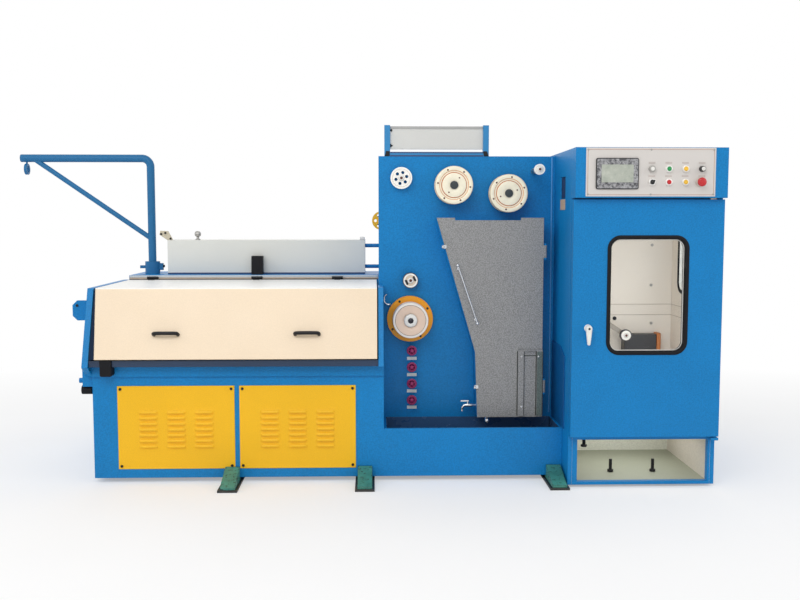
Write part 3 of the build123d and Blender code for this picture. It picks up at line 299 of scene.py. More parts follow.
BLUE = srgb(8, 126, 192)
BLUE_PAINT = dict(gloss=0.40, drift=0.10, grain=0.20, grain_scale=170.0, shine=0.28)
LINING = srgb(226, 218, 207)
blue_enamel = enamel("blue_enamel", BLUE, **BLUE_PAINT)
yellow_coat = enamel("yellow_coat", srgb(248, 190, 24), gloss=0.42, drift=0.05, grain=0.14, grain_scale=300.0,
                     shine=0.35)
box_grey = enamel("box_grey", srgb(228, 228, 221), gloss=0.42, drift=0.04, grain=0.04)
board_grey = enamel("board_grey", srgb(211, 211, 207), gloss=0.42, drift=0.03, grain=0.04)
arm_blue = enamel("arm_blue", srgb(34, 108, 158), gloss=0.42, drift=0.08, grain=0.15, shine=0.3)
arm_beige = enamel("arm_beige", srgb(158, 150, 140), gloss=0.42, drift=0.06, grain=0.06)
drip_blue = enamel("drip_blue", srgb(52, 84, 122), gloss=0.26, drift=0.25, grain=0.2, wear=1.5)
orange_enamel = enamel("orange_enamel", srgb(250, 164, 20), gloss=0.30, drift=0.06, grain=0.06)
wheel_orange = enamel("wheel_orange", srgb(255, 190, 40), gloss=0.34, drift=0.05, grain=0.06)
board_blue = enamel("board_blue", srgb(40, 132, 190), gloss=0.34, drift=0.06, grain=0.10)
lining_beige = enamel("lining_beige", LINING, gloss=0.46, drift=0.05, grain=0.05)
tan_enamel = enamel("tan_enamel", srgb(206, 196, 172), gloss=0.40, drift=0.05, grain=0.06)
black_satin = enamel("black_satin", srgb(20, 20, 23), gloss=0.42, drift=0.2, grain=0.2, wear=2.2, shine=0.3)
tray_dark = enamel("tray_dark", srgb(30, 54, 84), gloss=0.22, drift=0.25, grain=0.2, wear=1.6)
plate_grey = enamel("plate_grey", srgb(214, 209, 204), gloss=0.40, drift=0.02, grain=0.03, edge=0.001)
drive_grey = enamel("drive_grey", srgb(64, 64, 67), gloss=0.45, drift=0.15, grain=0.12)
print("paints:", len(bpy.data.materials))

# %% [markdown]
# The cabinet's walls are blue outside and beige inside. Each wall is one solid, so its paint changes at the plane
# of its inner face: whatever lies within half a millimetre of that plane, or beyond it, takes the lining's colour.
# The lid's flat top is painted a lighter cream than its front in the same way, as painted light from above.

# %% Lined walls
SKIN = 0.0005
LID_SKIN = 0.004
FAR = 10.0
BAY_TOP = 0.2
BAY_BACK = srgb(240, 242, 230)
BAY_FLOOR = srgb(170, 174, 156)
left_wall_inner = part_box("cabinet_left_wall")[1].x
right_wall_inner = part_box("cabinet_right_wall")[0].x
rear_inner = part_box("cabinet_rear_housing")[0].y
header_low, header_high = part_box("control_header")
header_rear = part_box("cabinet_left_wall")[0].y
LINED_WALLS = {
    "cabinet_left_wall": (LINING, [(0, left_wall_inner - SKIN, FAR)]),
    "cabinet_right_wall": (LINING, [(0, -FAR, right_wall_inner + SKIN)]),
    "cabinet_rear_housing": (BAY_BACK, [(1, -FAR, rear_inner + SKIN)]),
    "control_header": (LINING, [(1, header_rear - SKIN, FAR), (2, -FAR, header_high.z - SKIN)]),
}
lined_paints = {node: enamel(node + "_paint", BLUE, lining=lining, **BLUE_PAINT)
                for node, lining in LINED_WALLS.items()}
lined_paints["cabinet_floors"] = enamel("cabinet_floors_paint", LINING, gloss=0.5, drift=0.05, grain=0.08,
                                        lining=(BAY_FLOOR, [(2, -FAR, BAY_TOP)]))
# the lid's lighter top is painted light from above
lined_paints["lid"] = enamel("cream_enamel", srgb(238, 217, 188), gloss=0.36, drift=0.03, grain=0.05, grain_scale=220.0,
                             lining=(srgb(255, 252, 246), [(2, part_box("lid")[1].z - LID_SKIN, FAR)]))
print("paints in two colours:", list(lined_paints))

# %% [markdown]
# Some finishes need more than paint. The annealer's door is hammered enamel: its skin dries into shallow dimples,
# which a cell pattern gives, with painted highlight at their centres and painted shade towards their rims. The
# wedge feet are painted castings, chipped and dirty.

# %% Hammered enamel and chipped castings
HAMMER_CELLS = 190.0
CHIP_CELLS, GRIT_CELLS = 60.0, 260.0


def hammered(name, colour):
    """Hammered grey enamel: dimples from cells, painted highlight at their centres and painted shade at their rims."""
    material, tree, shader, place = new_material(name)
    cells = add_node(tree, "TexVoronoi", {"Vector": place, "Scale": HAMMER_CELLS, "Randomness": 1.0})["Distance"]
    dimple = spread(tree, cells, 0.0, 0.75, 0.0, 1.0)
    # painted highlight at each cell's centre, painted shade towards its rim
    body = blend_colour(tree, dimple, shade(colour, 1.22), shade(colour, 0.62))
    shader.inputs["Metallic"].default_value = 0.25
    set_surface(tree, shader, blend_colour(tree, clouds(tree, place, 3.0, 5.0, 0.0, 0.35), body, shade(colour, 0.86)),
                spread(tree, dimple, 0.0, 1.0, 0.30, 0.48),
                bump(tree, dimple, 0.55, 0.0009, soft_edges(tree, 0.002)))
    return material


def chipped(name, colour, bare):
    """Worn enamel on a rough casting: chips show the dark metal, thickest along the edges."""
    material, tree, shader, place = new_material(name)
    rounded = soft_edges(tree, 0.004)
    chips = spread(tree, noise(tree, place, CHIP_CELLS, 6.0, 0.7), 0.56, 0.62, 0.0, 1.0)
    edge = spread(tree, noise(tree, place, 90.0, 4.0), 0.35, 0.5, 0.0, 1.0)
    rubbed = math_node(tree, "MULTIPLY", edge_mask(tree, rounded), edge)
    worn = math_node(tree, "MAXIMUM", chips, rubbed)
    body = blend_colour(tree, clouds(tree, place, 18.0, 5.0), shade(colour, 0.72), shade(colour, 1.2))
    set_surface(tree, shader, blend_colour(tree, worn, body, bare), spread(tree, worn, 0.0, 1.0, 0.42, 0.75),
                bump(tree, noise(tree, place, GRIT_CELLS, 4.0, 0.7), 0.5, 0.0012, rounded))
    return material


hammer_grey = hammered("hammer_grey", srgb(158, 158, 158))
wedge_green = chipped("wedge_green", srgb(66, 138, 124), srgb(52, 58, 54))
foot_black = chipped("foot_black", srgb(40, 42, 40), srgb(74, 70, 66))
print("door and feet:", hammer_grey.name, wedge_green.name, foot_black.name)

# %% [markdown]
# Bright metal is ground or polished, so its gloss changes along fine scratches that all run one way. Plastic comes
# out of a mould with a faint flow pattern and a matt skin. The window panes are acrylic, smeared by many hands.


# %% Metals, plastics, rubber and glass
def brushed(name, colour, gloss=0.32, along=(1.0, 1.0, 60.0), fine=28.0):
    """Bright metal with fine scratches drawn out along one direction."""
    material, tree, shader, place = new_material(name)
    lines = noise(tree, mapped(tree, place, along), fine, 5.0, 0.6)
    shader.inputs["Metallic"].default_value = 1.0
    set_surface(tree, shader,
                blend_colour(tree, clouds(tree, place, 14.0, 4.0), shade(colour, 0.88), shade(colour, 1.08)),
                spread(tree, lines, 0.3, 0.7, gloss - 0.08, gloss + 0.14),
                bump(tree, lines, 0.12, 0.0003, soft_edges(tree, 0.001)))
    return material


def moulded(name, colour, gloss=0.32, grain_scale=500.0, texture=0.15, shine=0.5):
    """Moulded plastic: even colour with a faint flow pattern and a fine matt texture."""
    material, tree, shader, place = new_material(name)
    shader.inputs["Specular IOR Level"].default_value = shine
    set_surface(tree, shader,
                blend_colour(tree, clouds(tree, place, 30.0, 3.0), shade(colour, 0.90), shade(colour, 1.08)),
                clouds(tree, place, 60.0, 3.0, gloss - 0.05, gloss + 0.08),
                bump(tree, noise(tree, place, grain_scale, 2.0), texture, 0.0003, soft_edges(tree, 0.0012)))
    return material


def pane(name, tint, smear):
    """Clear acrylic sheet: see-through, with faint smears that dull its gloss."""
    material, tree, shader, place = new_material(name)
    shader.inputs["Base Color"].default_value = tint
    shader.inputs["Transmission Weight"].default_value = 1.0
    shader.inputs["IOR"].default_value = 1.06
    marks = spread(tree, noise(tree, place, 6.0, 6.0, 0.65), 0.45, 0.75, 0.02, smear)
    tree.links.new(marks, shader.inputs["Roughness"])
    return material


EVEN = (1.0, 1.0, 1.0)
chrome = brushed("chrome", srgb(214, 216, 219), gloss=0.14, along=EVEN, fine=220.0)
steel = brushed("steel", srgb(176, 174, 170), gloss=0.34)
dark_bolt = brushed("dark_bolt", srgb(58, 58, 60), gloss=0.42, along=EVEN, fine=300.0)
cone_steel = brushed("cone_steel", srgb(168, 164, 158), gloss=0.26, along=(1.0, 40.0, 1.0))
rubber = moulded("rubber", srgb(20, 20, 24), gloss=0.62, texture=0.35, shine=0.2)
magenta_plastic = moulded("magenta_plastic", srgb(150, 32, 92), gloss=0.28)
white_plastic = moulded("white_plastic", srgb(236, 234, 228), gloss=0.30)
bezel_plastic = moulded("bezel_plastic", srgb(64, 66, 70), gloss=0.40)
black_plastic = moulded("black_plastic", srgb(26, 26, 28), gloss=0.36)
red_plastic = moulded("red_plastic", srgb(196, 40, 44), gloss=0.26)
green_plastic = moulded("green_plastic", srgb(44, 150, 84), gloss=0.26)
amber_plastic = moulded("amber_plastic", srgb(240, 190, 60), gloss=0.26)
label_card = moulded("label_card", srgb(255, 252, 240), gloss=0.5)
clear_pane = pane("clear_pane", (0.97, 0.985, 0.98, 1.0), 0.10)
print("finishes so far:", len(bpy.data.materials))

# %% [markdown]
# A part turned on a lathe carries fine circles about its axis, and its steps catch the light in rings. So this
# finish is measured from the wheel's own centre: the distance from it picks the colour.

# %% Turned faces
CIRCLES_PER_METRE = 5200.0
TURNED_SHADOW = srgb(178, 162, 142)


def turned_face(name, centre, bands, gloss=0.34, metal=0.0, circles=0.10):
    """Finish in rings about an axis along Y: the distance from the centre picks the band's colour, and fine
    circles of the same centre disturb its gloss. Bands are (outer radius in metres, colour) from inside out."""
    material, tree, shader, place = new_material(name)
    flat = mapped(tree, place, (1.0, 0.0, 1.0), (-float(centre[0]), 0.0, -float(centre[2])))
    distance = vector_value(tree, "LENGTH", flat)
    ramp = tree.nodes.new("ShaderNodeValToRGB")
    ramp.color_ramp.interpolation = "CONSTANT"
    stops = ramp.color_ramp.elements
    reach = bands[-1][0]
    inner = 0.0
    for index, (radius, colour) in enumerate(bands):
        stop = stops[0] if index == 0 else stops.new(inner)
        stop.position = inner
        stop.color = colour
        inner = radius / reach
    while len(stops) > len(bands):
        stops.remove(stops[-1])
    tree.links.new(spread(tree, distance, 0.0, reach, 0.0, 1.0), ramp.inputs["Fac"])
    wave = math_node(tree, "SINE", math_node(tree, "MULTIPLY", distance, CIRCLES_PER_METRE))
    shader.inputs["Metallic"].default_value = metal
    set_surface(tree, shader,
                blend_colour(tree, clouds(tree, place, 40.0, 4.0, 0.0, 0.12), ramp.outputs["Color"], TURNED_SHADOW),
                spread(tree, wave, -1.0, 1.0, gloss - 0.05, gloss + 0.06), bump(tree, wave, circles, 0.0002))
    return material


print("a band of rings is", round(1000.0 * 2 * math.pi / CIRCLES_PER_METRE, 2), "mm wide")

# %% [markdown]
# The solids that already have their true shape only need a finish. A table says which finish each one takes. The
# sheaves, the capstan and the other wheels come later, because their finish is measured from their own centres.

# %% Finishes of the solids
SOLID_FINISH = {
    blue_enamel: ["base_frame", "chamber_sides", "gearbox_housing", "end_brackets", "annealer_housing",
                  "annealer_panel", "conduits", "annealing_chamber", "cabinet_front_frame", "spool_door"],
    yellow_coat: ["louvred_panels"],
    box_grey: ["service_box"],
    board_grey: ["top_board"],
    arm_blue: ["arm_socket", "swing_arm"],
    arm_beige: ["guide_arm"],
    drip_blue: ["drip_tray"],
    lining_beige: ["cabinet_back_wall"],
    tan_enamel: ["service_fittings"],
    hammer_grey: ["chamber_door"],
    wedge_green: ["foot_wedges"],
    foot_black: ["foot_plates"],
    tray_dark: ["oil_bath"],
    black_satin: ["lid_hinges", "lid_fittings"],
    rubber: ["rubber_stop", "side_gasket", "door_gasket"],
    clear_pane: ["side_window", "door_glass"],
    chrome: ["chamber_door_handle", "drain_tap"],
    steel: ["wheel_axles", "leveling_bolts"],
    cone_steel: ["drawing_cones"],
    orange_enamel: ["capstan_ring"],
    wheel_orange: ["rear_wheel"],
    board_blue: ["board_frame"],
    magenta_plastic: ["valve_wheel_1", "valve_wheel_2", "valve_wheel_3", "valve_wheel_4"],
    white_plastic: ["upper_guide_pulley", "corner_pulley", "entry_pulley", "winder_pulley", "door_handle",
                    "left_sheave", "right_sheave", "capstan"],
    plate_grey: ["control_plate"],
    bezel_plastic: ["touch_screen"],
    black_plastic: ["push_buttons"],
    drive_grey: ["traverse_drive"],
}


def give_finish(node, material):
    """Put one material on a solid in place of the one it came with."""
    nodes[node].data.materials.clear()
    nodes[node].data.materials.append(material)


finishes = dict(lined_paints)
for finish, names in SOLID_FINISH.items():
    finishes.update({name: finish for name in names})
for name, finish in finishes.items():
    give_finish(name, finish)
print("solids with a finish:", len(finishes), "of", len(nodes))

# %% [markdown]
# New shapes are grids of points. A grid has rows and columns, and may close on itself in either direction, as a
# ring or a tube does. Faces join each point to its neighbours by number, and a piece is made of points and faces.


# %% Grids and pieces
def grid_faces(rows, columns, wrap_rows=False, wrap_columns=False):
    """Four-cornered faces between neighbours of a grid, as an array of point numbers."""
    row = np.arange(rows if wrap_rows else rows - 1)[:, None]
    column = np.arange(columns if wrap_columns else columns - 1)[None, :]
    next_row = (row + 1) % rows
    next_column = (column + 1) % columns
    corners = [row * columns + column, row * columns + next_column,
               next_row * columns + next_column, next_row * columns + column]
    return np.stack([np.broadcast_to(c, (row.size, column.size)) for c in corners], -1).reshape(-1, 4)


def tube_faces(rows, columns):
    """Faces of a tube that is a row of rings, with a flat face at each end."""
    ends = [list(range(columns)), list(range((rows - 1) * columns, rows * columns))[::-1]]
    return grid_faces(rows, columns, wrap_columns=True).tolist() + ends


def add_piece(name, points, faces, material, body, smooth=40.0):
    """Object from points and faces, with outward faces, smooth where it bends less than an angle."""
    mesh = bpy.data.meshes.new(name)
    mesh.from_pydata(np.asarray(points).reshape(-1, 3).tolist(), [], [list(map(int, face)) for face in faces])
    mesh.validate()
    work = bmesh.new()
    work.from_mesh(mesh)
    bmesh.ops.recalc_face_normals(work, faces=work.faces)
    work.to_mesh(mesh)
    work.free()
    mesh.polygons.foreach_set("use_smooth", np.ones(len(mesh.polygons), bool))
    mesh.set_sharp_from_angle(angle=math.radians(smooth))
    mesh.materials.append(material)
    piece = bpy.data.objects.new(name, mesh)
    scene.collection.objects.link(piece)
    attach(piece, body)
    return piece


print("a grid of 3 by 4 points has", len(grid_faces(3, 4)), "faces, and a closed tube of them", len(tube_faces(3, 4)))

# %% [markdown]
# Two ways of making a surface do most of the work, as they do in a workshop. A lathe turns a profile about an axis.
# A sweep carries a profile along a flat path, as a bar is bent or a rubber strip is drawn round a window.

# %% Turned and swept shapes
ORIGIN = (0.0, 0.0, 0.0)


def lathe(profile, centre, segments=72, closed=False, depth=0.0):
    """Profile of (radius, y) points turned about an axis along Y through the centre's x and z.
    A point is (x + r cos a, depth + y, z + r sin a). An open profile starts and ends on the axis."""
    profile = np.asarray(profile, float) + np.array([0.0, depth])
    angle = np.linspace(0.0, 2 * math.pi, segments, endpoint=False)
    ring = profile if closed else profile[1:-1]
    points = np.stack([centre[0] + ring[:, :1] * np.cos(angle), np.broadcast_to(ring[:, 1:], (len(ring), segments)),
                       centre[2] + ring[:, :1] * np.sin(angle)], -1).reshape(-1, 3)
    faces = grid_faces(len(ring), segments, wrap_rows=closed, wrap_columns=True).tolist()
    if not closed:
        poles = np.array([[centre[0], profile[0, 1], centre[2]], [centre[0], profile[-1, 1], centre[2]]])
        first = np.arange(segments)
        last = first + (len(ring) - 1) * segments
        faces += np.stack([np.full(segments, len(points)), np.roll(first, -1), first], -1).tolist()
        faces += np.stack([np.full(segments, len(points) + 1), last, np.roll(last, -1)], -1).tolist()
        points = np.concatenate([points, poles])
    return points, faces


def sweep(path, normal, profile, closed=False):
    """Profile of (side, up) points carried along a flat path whose plane has the given normal.
    A point is path + side * (direction x normal) + up * normal. An open path gets flat ends."""
    path = np.asarray(path, float)
    normal = np.asarray(normal, float)
    profile = np.asarray(profile, float)
    ahead = np.roll(path, -1, 0) if closed else np.concatenate([path[1:], path[-1:]])
    behind = np.roll(path, 1, 0) if closed else np.concatenate([path[:1], path[:-1]])
    direction = ahead - behind
    direction /= np.linalg.norm(direction, axis=1, keepdims=True)
    side = np.cross(direction, normal)
    points = (path[:, None, :] + profile[None, :, :1] * side[:, None, :] + profile[None, :, 1:] * normal)
    size = (len(path), len(profile))
    faces = grid_faces(*size, wrap_rows=True, wrap_columns=True).tolist() if closed else tube_faces(*size)
    return points.reshape(-1, 3), faces


def circle_profile(radius, count=20):
    """Points evenly round a circle."""
    angle = np.linspace(0.0, 2 * math.pi, count, endpoint=False)
    return np.stack([radius * np.cos(angle), radius * np.sin(angle)], -1)


print("a turned disc has", len(lathe([(0.0, 0.0), (0.1, 0.0), (0.1, 0.1), (0.0, 0.1)], ORIGIN)[0]), "points")

# %% [markdown]
# Plates are outlines stacked in depth. Two outlines give a plain cut sheet, and a third one, drawn in a little,
# gives its front edge a chamfer. Shapes that repeat are copied or joined before they become one piece.


# %% Outlines, plates and copies
def rounded_rectangle(width, height, radius, steps=10):
    """Closed outline of a rectangle with round corners: each corner is a quarter circle about its own centre."""
    angle = np.arange(4)[:, None] * math.pi / 2 + np.linspace(0.0, math.pi / 2, steps)
    across = np.array([1, -1, -1, 1])[:, None] * (width / 2 - radius)
    up = np.array([1, 1, -1, -1])[:, None] * (height / 2 - radius)
    return np.stack([across + radius * np.cos(angle), up + radius * np.sin(angle)], -1).reshape(-1, 2)


def outline_points(outline, y, x=0.0, z=0.0):
    """Outline of (across, up) points, set about a place at one depth."""
    outline = np.asarray(outline, float)
    return np.stack([x + outline[:, 0], np.full(len(outline), y), z + outline[:, 1]], -1)


def stacked_outlines(rings, x=0.0, z=0.0):
    """Surface through outlines of equal length at given y, with both ends closed. Rings are (outline, y)."""
    points = np.concatenate([outline_points(outline, y, x, z) for outline, y in rings])
    return points, tube_faces(len(rings), len(rings[0][0]))


def prism(outline, back, front):
    """Flat outline of (x, z) points carried from one depth to another, with both ends closed."""
    return stacked_outlines([(outline, back), (outline, front)])


def slab(x, z, back, front, width, height, radius, chamfer=0.0008):
    """Plate with rounded corners facing -Y: the outline at the back, at the chamfer and, drawn in, at the front."""
    outer = rounded_rectangle(width, height, radius)
    inner = rounded_rectangle(width - 2 * chamfer, height - 2 * chamfer, max(radius - chamfer, 0.0002))
    return stacked_outlines([(outer, back), (outer, front + chamfer), (inner, front)], x, z)


def merged(*shapes):
    """Several shapes as one set of points and faces."""
    points = np.concatenate([shape[0] for shape in shapes])
    starts = np.cumsum([0] + [len(shape[0]) for shape in shapes[:-1]])
    faces = [[corner + int(start) for corner in face] for shape, start in zip(shapes, starts) for face in shape[1]]
    return points, faces


def copies(shape, places):
    """The same shape at several places, as one set of points and faces."""
    return merged(*[(shape[0] + np.asarray(place, float), shape[1]) for place in places])


def middle(node):
    """Middle of a solid's box."""
    low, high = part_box(node)
    return np.array((low + high) / 2)


print("a plate has", len(slab(0.0, 0.0, 0.0, -0.01, 0.1, 0.1, 0.01)[0]), "points")

# %% [markdown]
# The two sheaves carry the wire through the annealer. Their faces are turned in steps: a flat rim band, a shallow
# ring groove and a disc inside it. The ring groove's walls are painted brown as shade. The groove for the wire is
# half a sine wave across the rim. Six screws hold the rim to the disc, and a matt cap covers the axle's end; its dark
# grey is painted shade of the axle hole.

# %% Sheaves
SHEAVE_CREAM = srgb(255, 247, 222)
SHEAVE_STEP_SHADE = srgb(192, 106, 44)
SHEAVE_FAINT_STEP_SHADE = srgb(232, 164, 100)
# the brown and faint rings are painted shade on the walls of the ring groove
SHEAVE_BANDS = [(0.0580, SHEAVE_CREAM), (0.0618, SHEAVE_STEP_SHADE), (0.0684, SHEAVE_CREAM), (0.0712, SHEAVE_FAINT_STEP_SHADE),
                (0.0890, SHEAVE_CREAM), (0.1000, srgb(228, 206, 172))]
SHEAVE_BORE = 0.0142
GROOVE_DEPTH = 0.012
GROOVE_MARGIN = 0.013
RIM_SCREWS_RADIUS, DISC_SCREWS_RADIUS = 0.0785, 0.0430
AXLE_CAP = [(0.0, -0.0056), (0.0180, -0.0056), (0.0192, -0.0048), (0.0192, 0.0010), (0.0, 0.0010)]
sheave_bolt_brown = moulded("sheave_bolt_brown", srgb(92, 44, 30), gloss=0.4)
hub_dark = brushed("hub_dark", srgb(66, 66, 72), gloss=0.38, along=EVEN, fine=260.0)
axle_hole_shade = moulded("axle_hole_shade", srgb(68, 74, 76), gloss=0.55, texture=0.3, shine=0.2)


def screw_head(radius, height):
    """Round screw head with a socket, turned about Y, with its seat at y = 0 and its top towards -Y."""
    return lathe([(0.0, -0.4 * height), (0.45 * radius, -0.4 * height), (0.5 * radius, -0.95 * height),
                  (0.85 * radius, -height), (radius, -0.7 * height), (radius, 0.0), (0.0, 0.0)], ORIGIN, segments=20)


def on_circle(centre, y, radius, degrees):
    """Places at several angles on a circle about an axis along Y."""
    angle = np.radians(np.asarray(degrees, float))
    return np.stack([centre[0] + radius * np.cos(angle), np.full(angle.shape, y),
                     centre[2] + radius * np.sin(angle)], -1)


def sheave_profile(radius, bore, deep):
    """Closed outline of (radius, y) points from the front face: back, rim with its sine groove, stepped front."""
    across = np.linspace(0.0, 1.0, 17)
    groove = np.stack([radius - GROOVE_DEPTH * np.sin(math.pi * across),
                       (deep - GROOVE_MARGIN) + (2 * GROOVE_MARGIN - deep) * across], -1)
    rear = [(bore, deep), (radius - 0.004, deep), (radius - 0.001, deep - 0.001), (radius, deep - 0.004)]
    face = [(radius, 0.004), (radius - 0.001, 0.001), (radius - 0.003, 0.0), (0.0712, 0.0), (0.0700, 0.0010),
            (0.0700, 0.0036), (0.0612, 0.0036), (0.0602, 0.0026), (0.0596, 0.0008), (0.0585, 0.0003),
            (bore + 0.007, 0.0003), (bore + 0.006, 0.0011), (bore + 0.006, 0.0040), (bore, 0.0040)]
    return np.concatenate([rear, groove, face])


for sheave, first_angle, hole_angle in (("left_sheave", -7.0, 54.0), ("right_sheave", 20.0, 21.0)):
    low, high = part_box(sheave)
    centre = middle(sheave)
    outline = sheave_profile((high.x - low.x) / 2, SHEAVE_BORE, high.y - low.y)
    finish = turned_face(sheave + "_face", centre, SHEAVE_BANDS, gloss=0.30)
    body_piece = add_piece(sheave + "_turned", *lathe(outline, centre, 128, closed=True, depth=low.y), finish, sheave)
    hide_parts(sheave)
    rim_places = on_circle(centre, low.y + 0.0002, RIM_SCREWS_RADIUS, first_angle + 60.0 * np.arange(6))
    disc_places = on_circle(centre, low.y + 0.0005, DISC_SCREWS_RADIUS, hole_angle + np.array([0.0, 180.0]))
    bolts = merged(copies(screw_head(0.0044, 0.0012), rim_places), copies(screw_head(0.0036, 0.0010), disc_places))
    add_piece(sheave + "_screws", *bolts, sheave_bolt_brown, sheave)
    # the cap's dark grey is painted shade of the axle hole
    cap = lathe(AXLE_CAP, centre, 64, depth=low.y)
    add_piece(sheave + "_axle_cap_shade", *cap, axle_hole_shade, "machine")
    print(sheave, "is", round(high.x - low.x, 3), "m across")

# %% [markdown]
# The finishing capstan is a turned steel drum in front of an orange guard ring. Its hub nut has eight soft lobes:
# the radius of a point swells and shrinks with the cosine of eight times its angle.

# %% Capstan and guard ring
# the dark band over the drum face's ring groove is painted shade
CAPSTAN_BANDS = [(0.0330, srgb(236, 234, 230)), (0.0728, srgb(232, 206, 186)), (0.0745, srgb(120, 98, 86)),
                 (0.0950, srgb(240, 236, 230))]
FLANGE_RISE = 0.005
HUB_OUTLINE = [(0.0135, 0.0010), (0.0135, -0.0105), (0.0150, -0.0120), (0.0265, -0.0120), (0.0300, -0.0095),
               (0.0310, -0.0050), (0.0310, 0.0010)]
CORE_OUTLINE = [(0.0, -0.0085), (0.0060, -0.0085), (0.0080, -0.0070), (0.0136, -0.0062), (0.0136, 0.0), (0.0, 0.0)]
RING_BOLTS_RADIUS = 0.1000


def lobed_lathe(profile, centre, lobes, swing, segments=96, closed=False, depth=0.0):
    """Lathe whose radius is multiplied by 1 + swing * cos(lobes * a) at the angle a."""
    points, faces = lathe(profile, centre, segments, closed, depth)
    across = points[:, 0] - centre[0]
    up = points[:, 2] - centre[2]
    swell = 1.0 + swing * np.cos(lobes * np.arctan2(up, across))
    return np.stack([centre[0] + across * swell, points[:, 1], centre[2] + up * swell], -1), faces


low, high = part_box("capstan")
capstan_centre = middle("capstan")
flange = (high.x - low.x) / 2
drum = flange - FLANGE_RISE
deep = high.y - low.y
capstan_outline = [(0.0202, deep), (flange - 0.002, deep), (flange, deep - 0.002), (flange, deep - 0.010),
                   (flange - 0.001, deep - 0.012), (drum, deep - 0.017), (drum, 0.012), (flange - 0.001, 0.007),
                   (flange, 0.005), (flange, 0.002), (flange - 0.002, 0.0), (0.0752, 0.0), (0.0746, 0.0022),
                   (0.0728, 0.0022), (0.0722, 0.0), (0.0400, 0.0012), (0.0345, 0.0030), (0.0345, 0.0060),
                   (0.0202, 0.0060)]
capstan_finish = turned_face("capstan_face", capstan_centre, CAPSTAN_BANDS, gloss=0.36, metal=0.25, circles=0.2)
capstan_shape = lathe(capstan_outline, capstan_centre, 128, closed=True, depth=low.y)
capstan_piece = add_piece("capstan_turned", *capstan_shape, capstan_finish, "capstan")
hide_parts("capstan")
hub_shape = lobed_lathe(HUB_OUTLINE, capstan_centre, 8, 0.03, closed=True, depth=low.y)
add_piece("capstan_hub_nut", *hub_shape, white_plastic, "machine")
hub_core = lathe(CORE_OUTLINE, capstan_centre, 48, depth=low.y)
add_piece("capstan_hub_core", *hub_core, hub_dark, "machine")
ring_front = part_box("capstan_ring")[0].y
ring_places = on_circle(middle("capstan_ring"), ring_front, RING_BOLTS_RADIUS, 31.0 + 90.0 * np.arange(4))
ring_bolts = copies(screw_head(0.0058, 0.0030), ring_places)
add_piece("guard_ring_bolts", *ring_bolts, dark_bolt, "machine")
print("capstan: drum", round(2 * drum, 3), "m and flange", round(2 * flange, 3), "m across")

# %% [markdown]
# Four small handwheels open the coolant valves. Each is moulded with a round rim, five spokes and a domed hub, and a
# dark disc behind the spokes is painted shadow in their openings. A bare card in a light colour sits below each of
# them.

# %% Valve handwheels
VALVES = ["valve_wheel_1", "valve_wheel_2", "valve_wheel_3", "valve_wheel_4"]
SPOKES = 5
SPOKE_RADIUS = 0.0034
SPOKE_SHADOW_OUTLINE = [(0.0091, -0.0030), (0.0200, -0.0030), (0.0200, 0.0), (0.0091, 0.0)]
CARD_WIDTH, CARD_HEIGHT, CARD_DROP = 0.048, 0.0155, 0.0450
valve_shadow = moulded("valve_shadow", srgb(58, 14, 38), gloss=0.5)


def straight_bar(start, end, radius, normal=(0.0, 1.0, 0.0), count=16):
    """Round bar between two points."""
    return sweep([start, end], normal, circle_profile(radius, count))


def handwheel(radius, front, back):
    """Rim as a ring of circles, straight spokes and a domed hub, about an axis along Y through x = z = 0."""
    deep = back - front
    tube = deep * 0.36
    rim_centre = radius - tube
    rim_y = front + deep * 0.55
    rim = lobed_lathe(circle_profile(tube) + np.array([rim_centre, rim_y]), ORIGIN, 10, 0.012, 80, closed=True)
    hub = lathe([(0.0, -0.0078), (0.0050, -0.0078), (0.0082, -0.0066), (0.0098, -0.0040), (0.0098, deep), (0.0, deep)],
                ORIGIN, 40, depth=front)
    ends = on_circle(ORIGIN, rim_y, rim_centre, 90.0 + 360.0 / SPOKES * np.arange(SPOKES))
    return merged(rim, hub, *[straight_bar((0.0, rim_y, 0.0), end, SPOKE_RADIUS) for end in ends])


cards = []
panel_low, panel_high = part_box("annealer_panel")
for valve in VALVES:
    low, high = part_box(valve)
    x, _, z = middle(valve)
    wheel = copies(handwheel((high.z - low.z) / 2, low.y, high.y), [(x, 0.0, z)])
    wheel_piece = add_piece(valve + "_moulded", *wheel, magenta_plastic, valve)
    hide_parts(valve)
    # dark disc behind the spokes: painted shadow in the wheel's openings
    spoke_shadow = lathe(SPOKE_SHADOW_OUTLINE, (x, 0.0, z), 48, closed=True, depth=high.y)
    add_piece(valve + "_spoke_shadow", *spoke_shadow, valve_shadow, valve)
    cards.append(slab(x + 0.002, z - CARD_DROP, panel_low.y, panel_low.y - 0.0012, CARD_WIDTH, CARD_HEIGHT, 0.0015,
                      0.0004))
add_piece("valve_cards", *merged(*cards), label_card, "machine")
print("handwheels:", len(VALVES), "with", SPOKES, "spokes each")

# %% [markdown]
# The covers of the base are sheets with pressed louvres. One height per point is enough for a pressed sheet: each
# louvre is a quarter circle from its closed top edge to its open lower lip, and its ends fade out the same way.

# %% Louvred covers
COVER_GAP = 0.022
COVER_SHEET = 0.003
LOUVRE_COLUMNS = np.array([-0.130, 0.0, 0.130])
LOUVRE_ROWS = (np.arange(7) - 3.0) * 0.027 - 0.0065
LOUVRE_LENGTH = 0.085
LOUVRE_TALL = 0.013
LOUVRE_PROUD = 0.0085
LOUVRE_FADE = 0.012
LIP_STEP = 0.0003
EDGE_STEPS = np.array([0.0005, 0.0015, 0.003])
SCREW_INSET = 0.015


def quarter_rise(share):
    """Quarter circle that rises from 0 to 1: sqrt(1 - (1 - s)^2), with s held between 0 and 1."""
    return np.sqrt(1.0 - (1.0 - np.clip(share, 0.0, 1.0)) ** 2)


def cover_lines(length, count, more=()):
    """Even steps over a length, with closer ones at both ends and some more where they are asked for."""
    half = length / 2
    return np.unique(np.concatenate([np.linspace(-half, half, count), half - EDGE_STEPS, EDGE_STEPS - half, more]))


